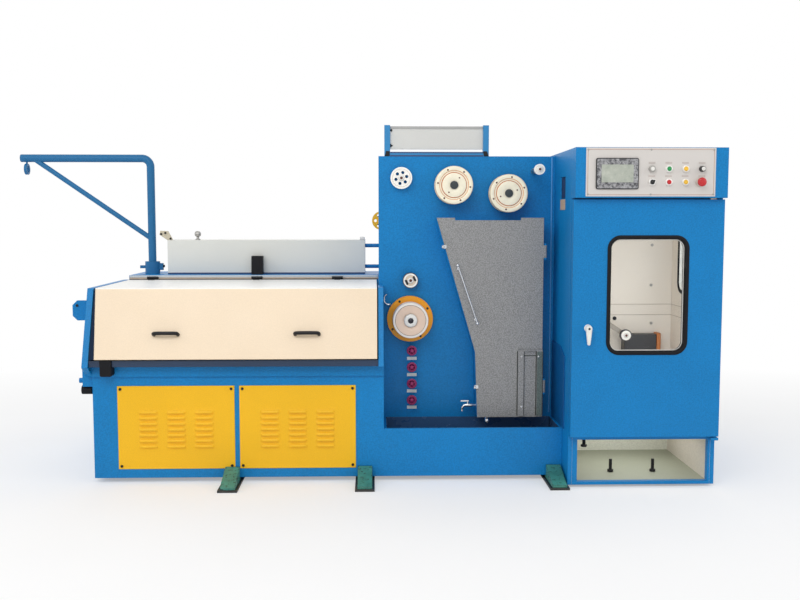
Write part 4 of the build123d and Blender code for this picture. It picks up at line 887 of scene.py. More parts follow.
def cover_surface(width, height):
    """Height above the wall over (across, up): the sheet's rounded border plus a hood at each louvre.
    A hood is proud * sqrt(1 - u * u) * ends, with u from 0 at the lip to 1 at the closed top edge."""
    lips = LOUVRE_ROWS - LOUVRE_TALL / 2
    side, rise = np.meshgrid(cover_lines(width, 220), cover_lines(height, 190, [*(lips - LIP_STEP), *lips]))
    border = np.minimum(width / 2 - np.abs(side), height / 2 - np.abs(rise)) / COVER_SHEET
    ends = np.max([quarter_rise((LOUVRE_LENGTH / 2 - np.abs(side - column)) / LOUVRE_FADE)
                   for column in LOUVRE_COLUMNS], 0)
    hood = np.zeros_like(side)
    for edge_highlight in lips:
        u = (rise - edge_highlight) / LOUVRE_TALL
        inside = (u >= -1e-9) & (u <= 1.0)
        hood = np.maximum(hood, np.where(inside, np.sqrt(np.clip(1.0 - u * u, 0.0, 1.0)), 0.0))
    return side, rise, COVER_SHEET * quarter_rise(border) + LOUVRE_PROUD * ends * hood


covers_low, covers_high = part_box("louvred_panels")
cover_wall = covers_high.y
cover_z = (covers_low.z + covers_high.z) / 2
cover_width = (covers_high.x - covers_low.x - COVER_GAP) / 2
cover_height = covers_high.z - covers_low.z
side, rise, tall = cover_surface(cover_width, cover_height)
rows, columns = side.shape
edge_loop = np.concatenate([np.arange(columns), np.arange(1, rows) * columns + columns - 1,
                            (rows - 1) * columns + np.arange(columns - 2, -1, -1),
                            np.arange(rows - 2, 0, -1) * columns])
cover_faces = grid_faces(rows, columns).tolist() + [edge_loop.tolist()]
cover_points = np.stack([side, cover_wall - tall, rise + cover_z], -1).reshape(-1, 3)
covers_x = [covers_low.x + cover_width / 2, covers_high.x - cover_width / 2]
covers = copies((cover_points, cover_faces), [(x, 0.0, 0.0) for x in covers_x])
cover_piece = add_piece("pressed_covers", *covers, yellow_coat, "machine", smooth=50.0)
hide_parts("louvred_panels")
screw_places = [(x + a * (cover_width / 2 - SCREW_INSET), cover_wall - COVER_SHEET,
                 cover_z + b * (cover_height / 2 - SCREW_INSET)) for x in covers_x for a in (-1, 1) for b in (-1, 1)]
cover_screws = copies(screw_head(0.0065, 0.0045), screw_places)
add_piece("cover_screws", *cover_screws, dark_bolt, "machine")
print("covers:", rows, "by", columns, "points each")

# %% [markdown]
# The lid has two bow handles. The path of a bow is half a superellipse: it leaves the lid almost square, turns a
# tight corner and runs flat between them. The leaves of the three hinges are one outline drawn out along X, as
# they would be sawn from an extruded bar.

# %% Handles and hinge leaves of the lid
LID_RUN, LID_RISE = 0.127, 0.320
PULLS_X = (-0.785, -0.135)
PULL_Z = 0.702
PULL_HALF = 0.055
PULL_REACH = 0.027
PULL_BAR = 0.0085
HINGES_X = (-1.008, -0.452, -0.021)
LEAF_HALF = 0.015
LEAF_ROUND = 0.008
lid_low, lid_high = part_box("lid")
lid_face = math.hypot(LID_RUN, LID_RISE)
lid_slope = np.array([0.0, LID_RUN, LID_RISE]) / lid_face
lid_outward = np.array([0.0, -lid_slope[2], lid_slope[1]])


def bow_handle(place, along, outward, half, reach, bar):
    """Bar along half a superellipse of power 6 that stands on a face: x = a |cos t|^(1/3), h = b |sin t|^(1/3)."""
    turn = np.linspace(0.0, math.pi, 49)
    run = half * np.sign(np.cos(turn)) * np.abs(np.cos(turn)) ** (1.0 / 3.0)
    rise = reach * np.abs(np.sin(turn)) ** (1.0 / 3.0)
    path = np.asarray(place) + run[:, None] * np.asarray(along) + rise[:, None] * np.asarray(outward)
    return sweep(path, np.cross(outward, along), circle_profile(bar, 20))


hinge_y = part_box("gearbox_housing")[0].y - 0.013
hinge_z = lid_high.z + 0.009
leaf_arc = np.radians(np.linspace(-48.0, 270.0, 40))
leaf_outline = np.concatenate([[(0.042, -0.009), (0.042, -0.007), (0.041, -0.006)],
                               LEAF_ROUND * np.stack([np.cos(leaf_arc), np.sin(leaf_arc)], -1), [(0.0, -0.009)]])
leaves = [sweep([(x - LEAF_HALF, hinge_y, hinge_z), (x + LEAF_HALF, hinge_y, hinge_z)], (0.0, 0.0, 1.0), leaf_outline)
          for x in HINGES_X]
pull_y = lid_low.y + (PULL_Z - lid_low.z) * LID_RUN / LID_RISE
pulls = [bow_handle((x, pull_y, PULL_Z), (1.0, 0.0, 0.0), lid_outward, PULL_HALF, PULL_REACH, PULL_BAR)
         for x in PULLS_X]
fittings = add_piece("lid_handles_and_leaves", *merged(*pulls, *leaves), black_satin, "lid")
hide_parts("lid_fittings")
print("lid:", len(pulls), "handles and", len(leaves), "hinge leaves")

# %% [markdown]
# The door's window sits in a rubber profile. One outline, with a soft bead outside and a flat lip inside, runs
# round a rectangle with round corners. The window in the right wall has the same bead. Inside each rubber a pale
# strip is painted highlight: on the door along the pane's edge, in the right wall over the wall's cut edge.

# %% Window rubber
GASKET_LAP = 0.010
GASKET_LIP = 0.008
WINDOW_CORNER = 0.050
TOWARDS_FRONT, TOWARDS_LEFT = (0.0, -1.0, 0.0), (-1.0, 0.0, 0.0)
bead = np.radians(np.linspace(175.0, 5.0, 12))
bead_curve = np.concatenate([[(-GASKET_LIP, 0.0), (-0.0072, 0.0010)],
                             np.stack([0.0015 + 0.0085 * np.cos(bead), 0.0008 + 0.0045 * np.sin(bead)], -1)])

window_low, window_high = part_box("door_gasket")
window_x, _, window_z = middle("door_gasket")
window_path = rounded_rectangle(window_high.x - window_low.x - 2 * GASKET_LAP,
                                window_high.z - window_low.z - 2 * GASKET_LAP, WINDOW_CORNER, 16)
door_face = window_low.y + 0.005
door_deep = window_high.y - door_face
window_points = outline_points(window_path, door_face, window_x, window_z)
rubber_outline = np.concatenate([[(-GASKET_LIP, -door_deep)], bead_curve,
                                 [(0.010, 0.0), (0.0, 0.0), (0.0, -door_deep)]])
gasket_piece = add_piece("window_rubber", *sweep(window_points, TOWARDS_FRONT, rubber_outline, closed=True), rubber,
                         "spool_door")
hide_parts("door_gasket")
glass_depth = door_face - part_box("door_glass")[0].y
# pale strip on the pane inside the rubber: painted highlight
highlight_outline = [(-0.0125, glass_depth + 0.0006), (-GASKET_LIP, glass_depth + 0.0006), (-GASKET_LIP, glass_depth),
                (-0.0125, glass_depth)]
pane_highlight = sweep(window_points, TOWARDS_FRONT, highlight_outline, closed=True)
add_piece("door_pane_highlight", *pane_highlight, white_plastic, "spool_door")

side_low, side_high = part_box("side_gasket")
_, side_y, side_z = middle("side_gasket")
side_path = rounded_rectangle(side_high.y - side_low.y - 2 * GASKET_LAP, side_high.z - side_low.z - 2 * GASKET_LAP,
                              WINDOW_CORNER, 16)
side_points = np.stack([np.full(len(side_path), right_wall_inner), side_y - side_path[:, 0],
                        side_z + side_path[:, 1]], -1)
side_outline = np.concatenate([[(-GASKET_LIP, -0.001)], bead_curve, [(0.010, 0.0), (0.0, -0.001)]])
side_lip = add_piece("side_window_rubber", *sweep(side_points, TOWARDS_LEFT, side_outline, closed=True), rubber,
                     "machine")
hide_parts("side_gasket")
wall_sheet = side_high.x - right_wall_inner
# white strip over the wall's cut edge: painted highlight
side_highlight_outline = [(-GASKET_LIP, -0.001), (0.0, -0.001), (0.0, -wall_sheet), (-GASKET_LIP, -wall_sheet)]
side_highlight = sweep(side_points, TOWARDS_LEFT, side_highlight_outline, closed=True)
add_piece("side_window_highlight", *side_highlight, white_plastic, "machine")
print("door window", round(window_high.x - window_low.x, 3), "by", round(window_high.z - window_low.z, 3), "m")

# %% [markdown]
# The control plate is bare but for a thin printed border and six small screws. The border is a flat strip carried
# round a rectangle.

# %% Control plate
BORDER_INSET, BORDER_CORNER = 0.008, 0.010
BORDER_LINE = [(-0.0012, 0.0), (-0.0012, 0.0004), (0.0012, 0.0004), (0.0012, 0.0)]
PLATE_SCREW_INSET = 0.009
border_brown = moulded("border_brown", srgb(196, 160, 146), gloss=0.45)
plate_low, plate_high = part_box("control_plate")
plate_x, _, plate_z = middle("control_plate")
plate_width, plate_height = plate_high.x - plate_low.x, plate_high.z - plate_low.z
face = plate_low.y
border_path = rounded_rectangle(plate_width - 2 * BORDER_INSET, plate_height - 2 * BORDER_INSET, BORDER_CORNER, 8)
border = sweep(outline_points(border_path, face, plate_x, plate_z), TOWARDS_FRONT, BORDER_LINE, closed=True)
add_piece("plate_border", *border, border_brown, "machine")
plate_screws = copies(screw_head(0.0042, 0.0022), [(plate_x + a * (plate_width / 2 - PLATE_SCREW_INSET), face,
                                                    plate_z + b * (plate_height / 2 - PLATE_SCREW_INSET))
                                                   for a in (-1, 0, 1) for b in (-1, 1)])
add_piece("plate_screws", *plate_screws, steel, "machine")
print("control plate", round(plate_width, 3), "by", round(plate_height, 3), "m")

# %% [markdown]
# The touch screen is still under its wrinkled shipping film, which turns the dark surround pale in streaks. The
# screen is a black moulding with two thin plates in front of it: the surround and the glass.

# %% Touch screen
SCREEN_WIDTH, SCREEN_HEIGHT = 0.190, 0.137
SCREEN_RIM = 0.004
GLASS_WIDTH, GLASS_HEIGHT = 0.142, 0.078


def film(name, dark, light, scale, gloss):
    """Wrinkled clear film over a colour: stretched cloudy streaks between a dark and a light tone."""
    material, tree, shader, place = new_material(name)
    streak = spread(tree, noise(tree, place, scale, 7.0, 0.7), 0.38, 0.62, 0.0, 1.0)
    set_surface(tree, shader, blend_colour(tree, streak, dark, light),
                spread(tree, streak, 0.0, 1.0, gloss + 0.15, gloss), bump(tree, streak, 0.5, 0.0006))
    return material


bezel_film = film("bezel_film", srgb(58, 58, 64), srgb(178, 178, 180), 85.0, 0.26)
screen_film = film("screen_film", srgb(162, 168, 156), srgb(190, 194, 182), 26.0, 0.20)
screen_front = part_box("touch_screen")[0].y
screen_x, _, screen_z = middle("touch_screen")
bezel_shape = slab(screen_x, screen_z, face, screen_front, SCREEN_WIDTH, SCREEN_HEIGHT, 0.009, 0.0025)
bezel = add_piece("screen_bezel", *bezel_shape, black_plastic, "machine")
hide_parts("touch_screen")
surround = slab(screen_x, screen_z, screen_front + 0.001, screen_front - 0.0003, SCREEN_WIDTH - 2 * SCREEN_RIM,
                SCREEN_HEIGHT - 2 * SCREEN_RIM, 0.006, 0.0002)
add_piece("screen_surround", *surround, bezel_film, "machine")
glass = slab(screen_x, screen_z + 0.0005, screen_front + 0.001, screen_front - 0.0010, GLASS_WIDTH, GLASS_HEIGHT, 0.003,
             0.0005)
add_piece("screen_glass", *glass, screen_film, "machine")
print("screen", SCREEN_WIDTH, "by", SCREEN_HEIGHT, "m")

# %% [markdown]
# Eight operating devices stand in two rows: a lamp, push buttons, a speed knob, a selector and the emergency button.
# All are short lathe profiles, counted from the plate's face. The selector's grip is a plate turned about the axis
# by the usual rotation of x and z. A bare grey card sits above each device.

# %% Operating devices
BUTTON_ROWS = (1.455, 1.397)
COLLAR_RADIUS, STOP_RADIUS = 0.0150, 0.0200
COLLAR = [(0.0095, 0.0), (COLLAR_RADIUS, 0.0), (COLLAR_RADIUS, -0.0110), (0.0140, -0.0136), (0.0112, -0.0142),
          (0.0095, -0.0128)]
PUSH_CAP = [(0.0, -0.0172), (0.0050, -0.0173), (0.0076, -0.0168), (0.0089, -0.0155), (0.0092, -0.0135), (0.0092, 0.0),
            (0.0, 0.0)]
KNOB = [(0.0, -0.0225), (0.0095, -0.0225), (0.0112, -0.0212), (0.0126, -0.0080), (0.0134, 0.0), (0.0, 0.0)]
KNOB_TOP = [(0.0, -0.0236), (0.0078, -0.0236), (0.0088, -0.0230), (0.0088, -0.0218), (0.0, -0.0218)]
STOP_BODY = [(0.0112, 0.0), (0.0205, 0.0), (0.0205, -0.0050), (0.0190, -0.0062), (0.0150, -0.0070), (0.0150, -0.0330),
             (0.0112, -0.0330)]
STOP_LEFT = 0.009
SELECTOR = [(0.0, -0.0150), (0.0086, -0.0150), (0.0092, -0.0142), (0.0092, 0.0), (0.0, 0.0)]
SELECTOR_TURN = 40.0
LEGEND_RISE = 0.0265
legend_pale = moulded("legend_pale", srgb(196, 186, 180), gloss=0.45)
body_beige = moulded("body_beige", srgb(196, 186, 176), gloss=0.35)
collar_chrome = brushed("collar_chrome", srgb(246, 245, 242), gloss=0.40, along=EVEN, fine=220.0)


def rotated(shape, centre, degrees):
    """Shape turned about an axis along Y through the centre: x and z rotate by the angle, y stays."""
    points, faces = shape
    angle = math.radians(degrees)
    across, up = points[:, 0] - centre[0], points[:, 2] - centre[2]
    return np.stack([centre[0] + across * math.cos(angle) - up * math.sin(angle), points[:, 1],
                     centre[2] + across * math.sin(angle) + up * math.cos(angle)], -1), faces


buttons_low, buttons_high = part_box("push_buttons")
button_columns = np.linspace(buttons_low.x + COLLAR_RADIUS, buttons_high.x - STOP_RADIUS, 4)
first, second, third, fourth = button_columns
stop_x = fourth - STOP_LEFT
stop_reach = face - buttons_low.y
stop_cap = lathe([(0.0, 0.0), (0.0090, 0.0003), (0.0150, 0.0015), (0.0185, 0.0042), (STOP_RADIUS, 0.0085),
                  (0.0196, 0.0120), (0.0150, 0.0155), (0.0118, stop_reach - 0.0200), (0.0118, stop_reach),
                  (0.0, stop_reach)], ORIGIN, 64, depth=-stop_reach)
collar = lathe(COLLAR, ORIGIN, 48, closed=True)
push_cap = lathe(PUSH_CAP, ORIGIN, 48)
knob = lobed_lathe(KNOB, ORIGIN, 12, 0.02, 72)
selector_grip = slab(0.0, 0.0, -0.004, -0.0240, 0.0240, 0.0085, 0.0040, 0.0012)
selector = merged(lathe(SELECTOR, ORIGIN, 48), rotated(selector_grip, ORIGIN, SELECTOR_TURN))
lamp_ring = copies(collar, [(first, face, BUTTON_ROWS[0])])
add_piece("lamp_bezel", *lamp_ring, steel, "machine")
collar_places = [(x, face, BUTTON_ROWS[row])
                 for x, row in ((second, 0), (third, 0), (first, 1), (second, 1), (third, 1))]
rings = add_piece("button_bezels", *copies(collar, collar_places), collar_chrome, "machine")
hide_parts("push_buttons")
DEVICES = [("lamp_cap", push_cap, white_plastic, first, 0), ("start_cap", push_cap, green_plastic, second, 0),
           ("upper_amber_cap", push_cap, amber_plastic, third, 0), ("speed_knob", knob, black_plastic, fourth, 0),
           ("speed_knob_top", lathe(KNOB_TOP, ORIGIN, 40), white_plastic, fourth, 0),
           ("selector", selector, black_plastic, first, 1), ("halt_cap", push_cap, red_plastic, second, 1),
           ("lower_amber_cap", push_cap, amber_plastic, third, 1),
           ("emergency_body", lathe(STOP_BODY, ORIGIN, 48, closed=True), body_beige, stop_x, 1),
           ("emergency_cap", stop_cap, red_plastic, stop_x, 1)]
for name, shape, material, x, row in DEVICES:
    placed = copies(shape, [(x, face, BUTTON_ROWS[row])])
    add_piece(name, *placed, material, "machine")
legends = merged(*[slab(x, z + LEGEND_RISE, face, face - 0.0006, 0.030, 0.0075, 0.0008, 0.0002)
                   for z in BUTTON_ROWS for x in button_columns])
add_piece("button_cards", *legends, legend_pale, "machine")
print("devices:", [name for name, *_ in DEVICES])

# %% [markdown]
# The annealer's door has a thin bright bar with ball ends, held by two posts, and two latch clips over its sloping
# edge. A ball is a half circle turned about an axis. The two rails on the door are held by small bright screws.

# %% Fittings of the annealer's door
KNEE_X, KNEE_Z = 0.664, 0.594
FOOT_X = 0.676
RAIL_PROUD = 0.010
RAIL_SCREWS = [(0.887, 0.572), (0.970, 0.572), (0.889, 0.327)]
BAR_ENDS = ((0.215, 0.0364), (0.494, 0.0497))
BAR_REACH = 0.026
BAR_RADIUS = 0.0036
BALL_RADIUS = 0.0072
POST = [(0.0, -BAR_REACH), (0.0034, -BAR_REACH), (0.0034, -0.004), (0.0070, -0.0025), (0.0070, 0.0), (0.0, 0.0)]
POST_STEP = 0.0177
CLIP_WIDTH, CLIP_HEIGHT = 0.022, 0.018
CLIP_KNOB = [(0.0, -0.0170), (0.0048, -0.0170), (0.0068, -0.0145), (0.0068, -0.0110), (0.0036, -0.0090),
             (0.0036, -0.0045), (0.0, -0.0045)]
UPPER_CLIP_DROP, LOWER_CLIP_RISE = 0.127, 0.149


def ball(centre, radius, count=17):
    """Round ball, as a half circle turned about Y: (r sin t, y - r cos t) for t from pole to pole."""
    turn = np.linspace(0.0, math.pi, count)
    return lathe(np.stack([radius * np.sin(turn), -radius * np.cos(turn)], -1), centre, 32, depth=centre[1])


chamber_low, chamber_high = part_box("annealing_chamber")
chamber_slope = (KNEE_X - chamber_low.x) / (chamber_high.z - KNEE_Z)
foot_slope = (FOOT_X - KNEE_X) / (KNEE_Z - chamber_low.z)
rail_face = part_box("chamber_door")[0].y
shield_face = rail_face + RAIL_PROUD
upper_end, lower_end = [np.array([chamber_low.x + drop * chamber_slope + inset, shield_face - BAR_REACH,
                                  chamber_high.z - drop]) for drop, inset in BAR_ENDS]
along_bar = (lower_end - upper_end) / np.linalg.norm(lower_end - upper_end)
door_parts = [straight_bar(upper_end, lower_end, BAR_RADIUS)]
for end, inwards in ((upper_end, along_bar), (lower_end, -along_bar)):
    door_parts.append(lathe(POST, end + inwards * POST_STEP, 24, depth=shield_face))
    door_parts.append(ball(end, BALL_RADIUS))
for x, z in ((chamber_low.x + UPPER_CLIP_DROP * chamber_slope, chamber_high.z - UPPER_CLIP_DROP),
             (FOOT_X - LOWER_CLIP_RISE * foot_slope, chamber_low.z + LOWER_CLIP_RISE)):
    door_parts.append(slab(x, z, shield_face, shield_face - 0.005, CLIP_WIDTH, CLIP_HEIGHT, 0.004, 0.0012))
    door_parts.append(lathe(CLIP_KNOB, (x - 0.008, 0.0, z), 32, depth=shield_face))
handle_piece = add_piece("chamber_bar_and_clips", *merged(*door_parts), chrome, "chamber_door")
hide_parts("chamber_door_handle")
rail_screws = copies(screw_head(0.0046, 0.0030), [(x, rail_face - 0.0006, z) for x, z in RAIL_SCREWS])
add_piece("rail_screws", *rail_screws, chrome, "chamber_door")
print("door bar", round(float(np.linalg.norm(lower_end - upper_end)), 3), "m long")

# %% [markdown]
# The tap beside that door is a bent tube that thins towards its mouth. Its path is straight and then a quarter
# circle, and its radius falls along the path. A short outlet hangs under the chamber.

# %% Drain tap
TAP_RISE, TAP_FORWARD = 0.046, 0.060
TAP_HALF = 0.009
TAP_BEND = 0.020
BEND_STEPS = 13
STEM = [(0.0, 0.0), (0.0052, 0.0), (0.0052, 0.014), (0.0066, 0.015), (0.0066, 0.020), (0.0, 0.020)]
OUTLET = [(0.0, -0.044), (0.0085, -0.044), (0.0120, -0.042), (0.0120, -0.020), (0.0105, -0.018), (0.0105, 0.0),
          (0.0, 0.0)]


def tapered_tube(path, radii, count=24):
    """Round tube along a path in a plane of constant y, with its own radius at each point of the path."""
    path = np.asarray(path, float)
    direction = np.gradient(path, axis=0)
    direction /= np.linalg.norm(direction, axis=1, keepdims=True)
    out = np.array([0.0, 1.0, 0.0])
    side = np.cross(direction, out)
    angle = np.linspace(0.0, 2 * math.pi, count, endpoint=False)
    ring = np.cos(angle)[None, :, None] * side[:, None, :] + np.sin(angle)[None, :, None] * out
    points = path[:, None, :] + np.asarray(radii, float)[:, None, None] * ring
    return points.reshape(-1, 3), tube_faces(len(path), count)


def upright(shape):
    """The same shape with its Y axis turned up to Z."""
    points, faces = shape
    return points[:, [0, 2, 1]], faces


tap_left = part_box("drain_tap")[0].x
tap_z = chamber_low.z + TAP_RISE
tap_y = panel_low.y - TAP_FORWARD
tap_root = FOOT_X - (TAP_RISE + TAP_HALF) * foot_slope - 0.0003
mouth_x = tap_left + TAP_HALF
spout_x = mouth_x + TAP_BEND
bend = np.linspace(0.0, math.pi / 2, BEND_STEPS)
tube_outline = np.concatenate([[(tap_root, 0.0), (tap_root - 0.012, 0.0), (tap_root - 0.020, 0.0),
                                (spout_x + 0.010, 0.0)],
                               np.stack([spout_x - TAP_BEND * np.sin(bend), TAP_BEND * (np.cos(bend) - 1.0)], -1),
                               [(mouth_x, -0.030)]])
tube_radii = [0.0072, 0.0072, 0.0088, 0.0088, *np.linspace(0.0084, 0.0058, BEND_STEPS), 0.0062]
stem_x = tap_left + 0.037
lever = slab(stem_x - 0.014, tap_y, tap_z + 0.018, tap_z + 0.0238, 0.044, 0.0085, 0.004, 0.001)
tap_shape = merged(tapered_tube(outline_points(tube_outline, tap_y, z=tap_z), tube_radii),
                   upright(lathe(STEM, (stem_x, 0.0, tap_y), 32, depth=tap_z)), upright(lever),
                   upright(lathe(OUTLET, (FOOT_X + 0.056, 0.0, tap_y), 32, depth=chamber_low.z)))
tap_piece = add_piece("tap_and_outlet", *tap_shape, chrome, "machine")
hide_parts("drain_tap")
print("tap reaches", round(tap_root - tap_left, 3), "m to the left")

# %% [markdown]
# The spooler door has a white lever. Its outline is the hull of a large and a small circle: two arcs joined by
# their common tangents. Rings of that outline, drawn in step by step, give its rounded face.

# %% Door lever
LEVER_LARGE, LEVER_SMALL = 0.0145, 0.0070
LEVER_REACH = 0.0685
LEVER_STEPS = [(0.0008, 0.0), (0.0, -0.0010), (0.0, -0.0080), (0.0010, -0.0110), (0.0032, -0.0132), (0.0058, -0.0140)]
LEVER_THICK = 0.014
ROSE_RADIUS = 0.017
KEYHOLE = [(0.0, -0.0006), (0.0044, -0.0006), (0.0052, 0.0), (0.0052, 0.002), (0.0, 0.002)]


def hull_outline(large, small, reach, count=24):
    """Outline of the hull of a circle at the origin and a smaller one at a reach below it, as (x, z) points.
    The tangent points lie at the angle whose sine is the difference of the radii over the reach."""
    lean = math.asin((large - small) / reach)
    upper = np.linspace(-lean, math.pi + lean, count)
    lower = np.linspace(math.pi + lean, 2 * math.pi - lean, count)
    return np.concatenate([np.stack([large * np.cos(upper), large * np.sin(upper)], -1),
                           np.stack([small * np.cos(lower), small * np.sin(lower) - reach], -1)])


lever_low, lever_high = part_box("door_handle")
lever_place = ((lever_low.x + lever_high.x) / 2, 0.0, lever_high.z - ROSE_RADIUS)
lever_back = lever_low.y + LEVER_THICK
lever_rings = [(hull_outline(LEVER_LARGE - inset, LEVER_SMALL - inset, LEVER_REACH), lever_back + rise)
               for inset, rise in LEVER_STEPS]
rose = lathe([(0.0, lever_back), (0.0120, lever_back), (0.0132, lever_back + 0.003), (0.0150, door_low.y - 0.006),
              (ROSE_RADIUS, door_low.y - 0.004), (ROSE_RADIUS, door_low.y), (0.0, door_low.y)], lever_place, 48)
lever_shape = merged(stacked_outlines(lever_rings, lever_place[0], lever_place[2]), rose)
lever_piece = add_piece("door_lever", *lever_shape, white_plastic, "door_handle")
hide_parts("door_handle")
keyhole = lathe(KEYHOLE, lever_place, 32, depth=lever_low.y)
add_piece("lever_keyhole", *keyhole, black_plastic, "door_handle")
print("lever", round(LEVER_LARGE + LEVER_REACH + LEVER_SMALL, 3), "m long")

# %% [markdown]
# The cabinet stands on threaded levelling bolts. A thread is one formula on a grid of heights and angles: the
# radius falls and rises once per pitch, and the angle shifts that wave so that it climbs round the bolt.

# %% Levelling bolts
BOLT_RADIUS = 0.008
THREAD_PITCH = 0.0025
THREAD_DEPTH = 0.0012
BOLT_NUT = 0.0148
NUT_HEIGHT = 0.012
PAD_RADIUS = 0.025
FOOT_PLATE = 0.006
BOLTS_X = (1.316, 1.521)
FRONT_BOLTS_Y, REAR_BOLTS_Y = -0.445, 0.455


def threaded_rod(x, y, low, high):
    """Upright bolt: radius = r - depth * (1 - cos(2 pi z / pitch - angle)) / 2 at each height and angle."""
    height = np.linspace(low, high, int((high - low) / THREAD_PITCH * 8) + 1)[:, None]
    angle = np.linspace(0.0, 2 * math.pi, 36, endpoint=False)[None, :]
    fade = np.clip((high - height) / (2 * THREAD_PITCH), 0.35, 1.0)
    radius = BOLT_RADIUS - THREAD_DEPTH * (1.0 - fade * np.cos(2 * math.pi * height / THREAD_PITCH - angle)) / 2
    points = np.stack([x + radius * np.cos(angle), y + radius * np.sin(angle),
                       np.broadcast_to(height, radius.shape)], -1)
    return points.reshape(-1, 3), tube_faces(*radius.shape)


def hexagon_nut(x, y, low, high):
    """Six-sided nut with its corners drawn in at both ends."""
    outline = circle_profile(BOLT_NUT, 6)
    drawn_in = outline * 0.93
    rings = [(drawn_in, low), (outline, low + 0.0012), (outline, high - 0.0012), (drawn_in, high)]
    return upright(stacked_outlines(rings, x, y))


bolts_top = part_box("leveling_bolts")[1].z
plate_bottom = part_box("cabinet_rear_housing")[0].z
nut_foot = plate_bottom + FOOT_PLATE
pad = [(0.0, 0.0), (PAD_RADIUS, 0.0), (PAD_RADIUS, 0.005), (PAD_RADIUS - 0.004, 0.008), (0.013, 0.008),
       (0.013, plate_bottom), (0.0, plate_bottom)]
bolt_shapes = []
for x in BOLTS_X:
    bolt_shapes += [upright(lathe(pad, (x, 0.0, y), 48)) for y in (FRONT_BOLTS_Y, REAR_BOLTS_Y)]
    bolt_shapes.append(threaded_rod(x, FRONT_BOLTS_Y, plate_bottom, bolts_top))
    bolt_shapes.append(hexagon_nut(x, FRONT_BOLTS_Y, nut_foot, nut_foot + NUT_HEIGHT))
bolts_piece = add_piece("threaded_bolts", *merged(*bolt_shapes), dark_bolt, "machine")
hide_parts("leveling_bolts")
print("levelling bolts:", len(BOLTS_X), "rods of", round(bolts_top - plate_bottom, 3), "m")

# %% [markdown]
# Inside the spooler the back wall carries a few bolts and two shallow fold lines, painted darker as shade, which run
# on along the right wall. A dark traverse drive stands below them, with a copper-brown bar beside it. A narrow seal
# closes the gap between the header and the door, painted in the blue of the gap's shadow.

# %% Inside the spooler
BAR_WIDTH, BAR_PROUD, BAR_RISE = 0.020, 0.002, 0.006
FOLDS_Z = (0.793, 0.738)
FOLD_OUTLINE = [(-0.0016, -0.0004), (-0.0010, 0.0008), (0.0010, 0.0008), (0.0016, -0.0004)]
WALL_BOLTS = [(1.618, 1.101), (1.617, 0.893), (1.622, 0.694), (1.300, 1.101), (1.300, 0.893)]
DARK_BOLT = (1.429, 0.720)
SEAM_HEIGHT = 0.020
copper_brown = enamel("copper_brown", srgb(190, 116, 66), gloss=0.40, drift=0.06, grain=0.10)
fold_shadow = enamel("fold_shadow", srgb(176, 166, 154), gloss=0.5, drift=0.04, grain=0.05)
seal_shadow_blue = enamel("seal_shadow_blue", srgb(48, 100, 160), gloss=0.5, drift=0.1, grain=0.1)

drive_low, drive_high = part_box("traverse_drive")
drive_right = drive_high.x - BAR_WIDTH - 0.001
drive_height = drive_high.z - drive_low.z
drive_z = (drive_low.z + drive_high.z) / 2
drive_box = slab((drive_low.x + drive_right) / 2, drive_z, drive_high.y, drive_low.y, drive_right - drive_low.x,
                 drive_height, 0.004, 0.003)
drive_piece = add_piece("drive_block", *drive_box, drive_grey, "machine")
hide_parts("traverse_drive")
bar_box = slab(drive_high.x - BAR_WIDTH / 2, drive_z + BAR_RISE / 2, drive_high.y, drive_low.y - BAR_PROUD, BAR_WIDTH,
               drive_height + BAR_RISE, 0.003, 0.002)
add_piece("drive_bar", *bar_box, copper_brown, "machine")

back_face = back_low.y
fold_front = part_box("cabinet_right_wall")[0].y + 0.02
folds = []
for z in FOLDS_Z:
    corner = (right_wall_inner, back_face, z)
    folds.append(sweep([(left_wall_inner, back_face, z), corner], TOWARDS_FRONT, FOLD_OUTLINE))
    folds.append(sweep([corner, (right_wall_inner, fold_front, z)], TOWARDS_LEFT, FOLD_OUTLINE))
add_piece("wall_folds", *merged(*folds), fold_shadow, "machine")
wall_bolts = copies(screw_head(0.0075, 0.0040), [(x, back_face, z) for x, z in WALL_BOLTS])
add_piece("wall_bolts", *wall_bolts, steel, "machine")
dark_wall_bolt = copies(screw_head(0.0100, 0.0070), [(DARK_BOLT[0], back_face, DARK_BOLT[1])])
add_piece("dark_wall_bolt", *dark_wall_bolt, dark_bolt, "machine")
# the seal is painted in the blue of the gap's shadow
seam_left, seam_right = header_low.x + 0.003, right_wall_inner - 0.030
seal_shadow = slab((seam_left + seam_right) / 2, plate_low.z - 0.014, door_high.y + 0.0075, door_high.y + 0.0010,
            seam_right - seam_left, SEAM_HEIGHT, 0.002, 0.001)
add_piece("header_seal_shadow", *seal_shadow, seal_shadow_blue, "machine")
print("spooler:", len(folds), "folds and", len(WALL_BOLTS) + 1, "bolts")

# %% [markdown]
# The plain pulleys get faces in rings: tan rings of painted shade and, on two of them, a dark ring of painted shadow
# at the rim. A white cover with a dark centre stands in front of each fixed axle. The entry pulley also carries two
# black plates over its slots, painted shade, which turn with it.

# %% Pulley faces and axle covers
# pulley face bands: the tan rings are painted shade, the dark rim rings painted shadow
PULLEY_WHITE = srgb(252, 250, 244)
PULLEY_SHADE = srgb(224, 206, 184)
PULLEY_RIM_SHADOW = srgb(22, 24, 40)
PULLEYS = {
    "upper_guide_pulley": (0.0150, [(0.0420, PULLEY_WHITE), (0.0445, PULLEY_SHADE), (0.0530, PULLEY_WHITE)]),
    "entry_pulley": (0.0150, [(0.0270, PULLEY_SHADE), (0.0345, PULLEY_WHITE), (0.0385, PULLEY_RIM_SHADOW)]),
    "winder_pulley": (0.0130, [(0.0250, PULLEY_WHITE), (0.0305, PULLEY_RIM_SHADOW)]),
    "corner_pulley": (0.0130, [(0.0170, PULLEY_WHITE), (0.0186, PULLEY_SHADE), (0.0255, PULLEY_WHITE)]),
}
COVER_RISE = 0.0064
SLOT_TURN = 25.0
SLOT_OFFSET = 0.0215
SLOT_WIDTH, SLOT_HEIGHT = 0.0100, 0.0270

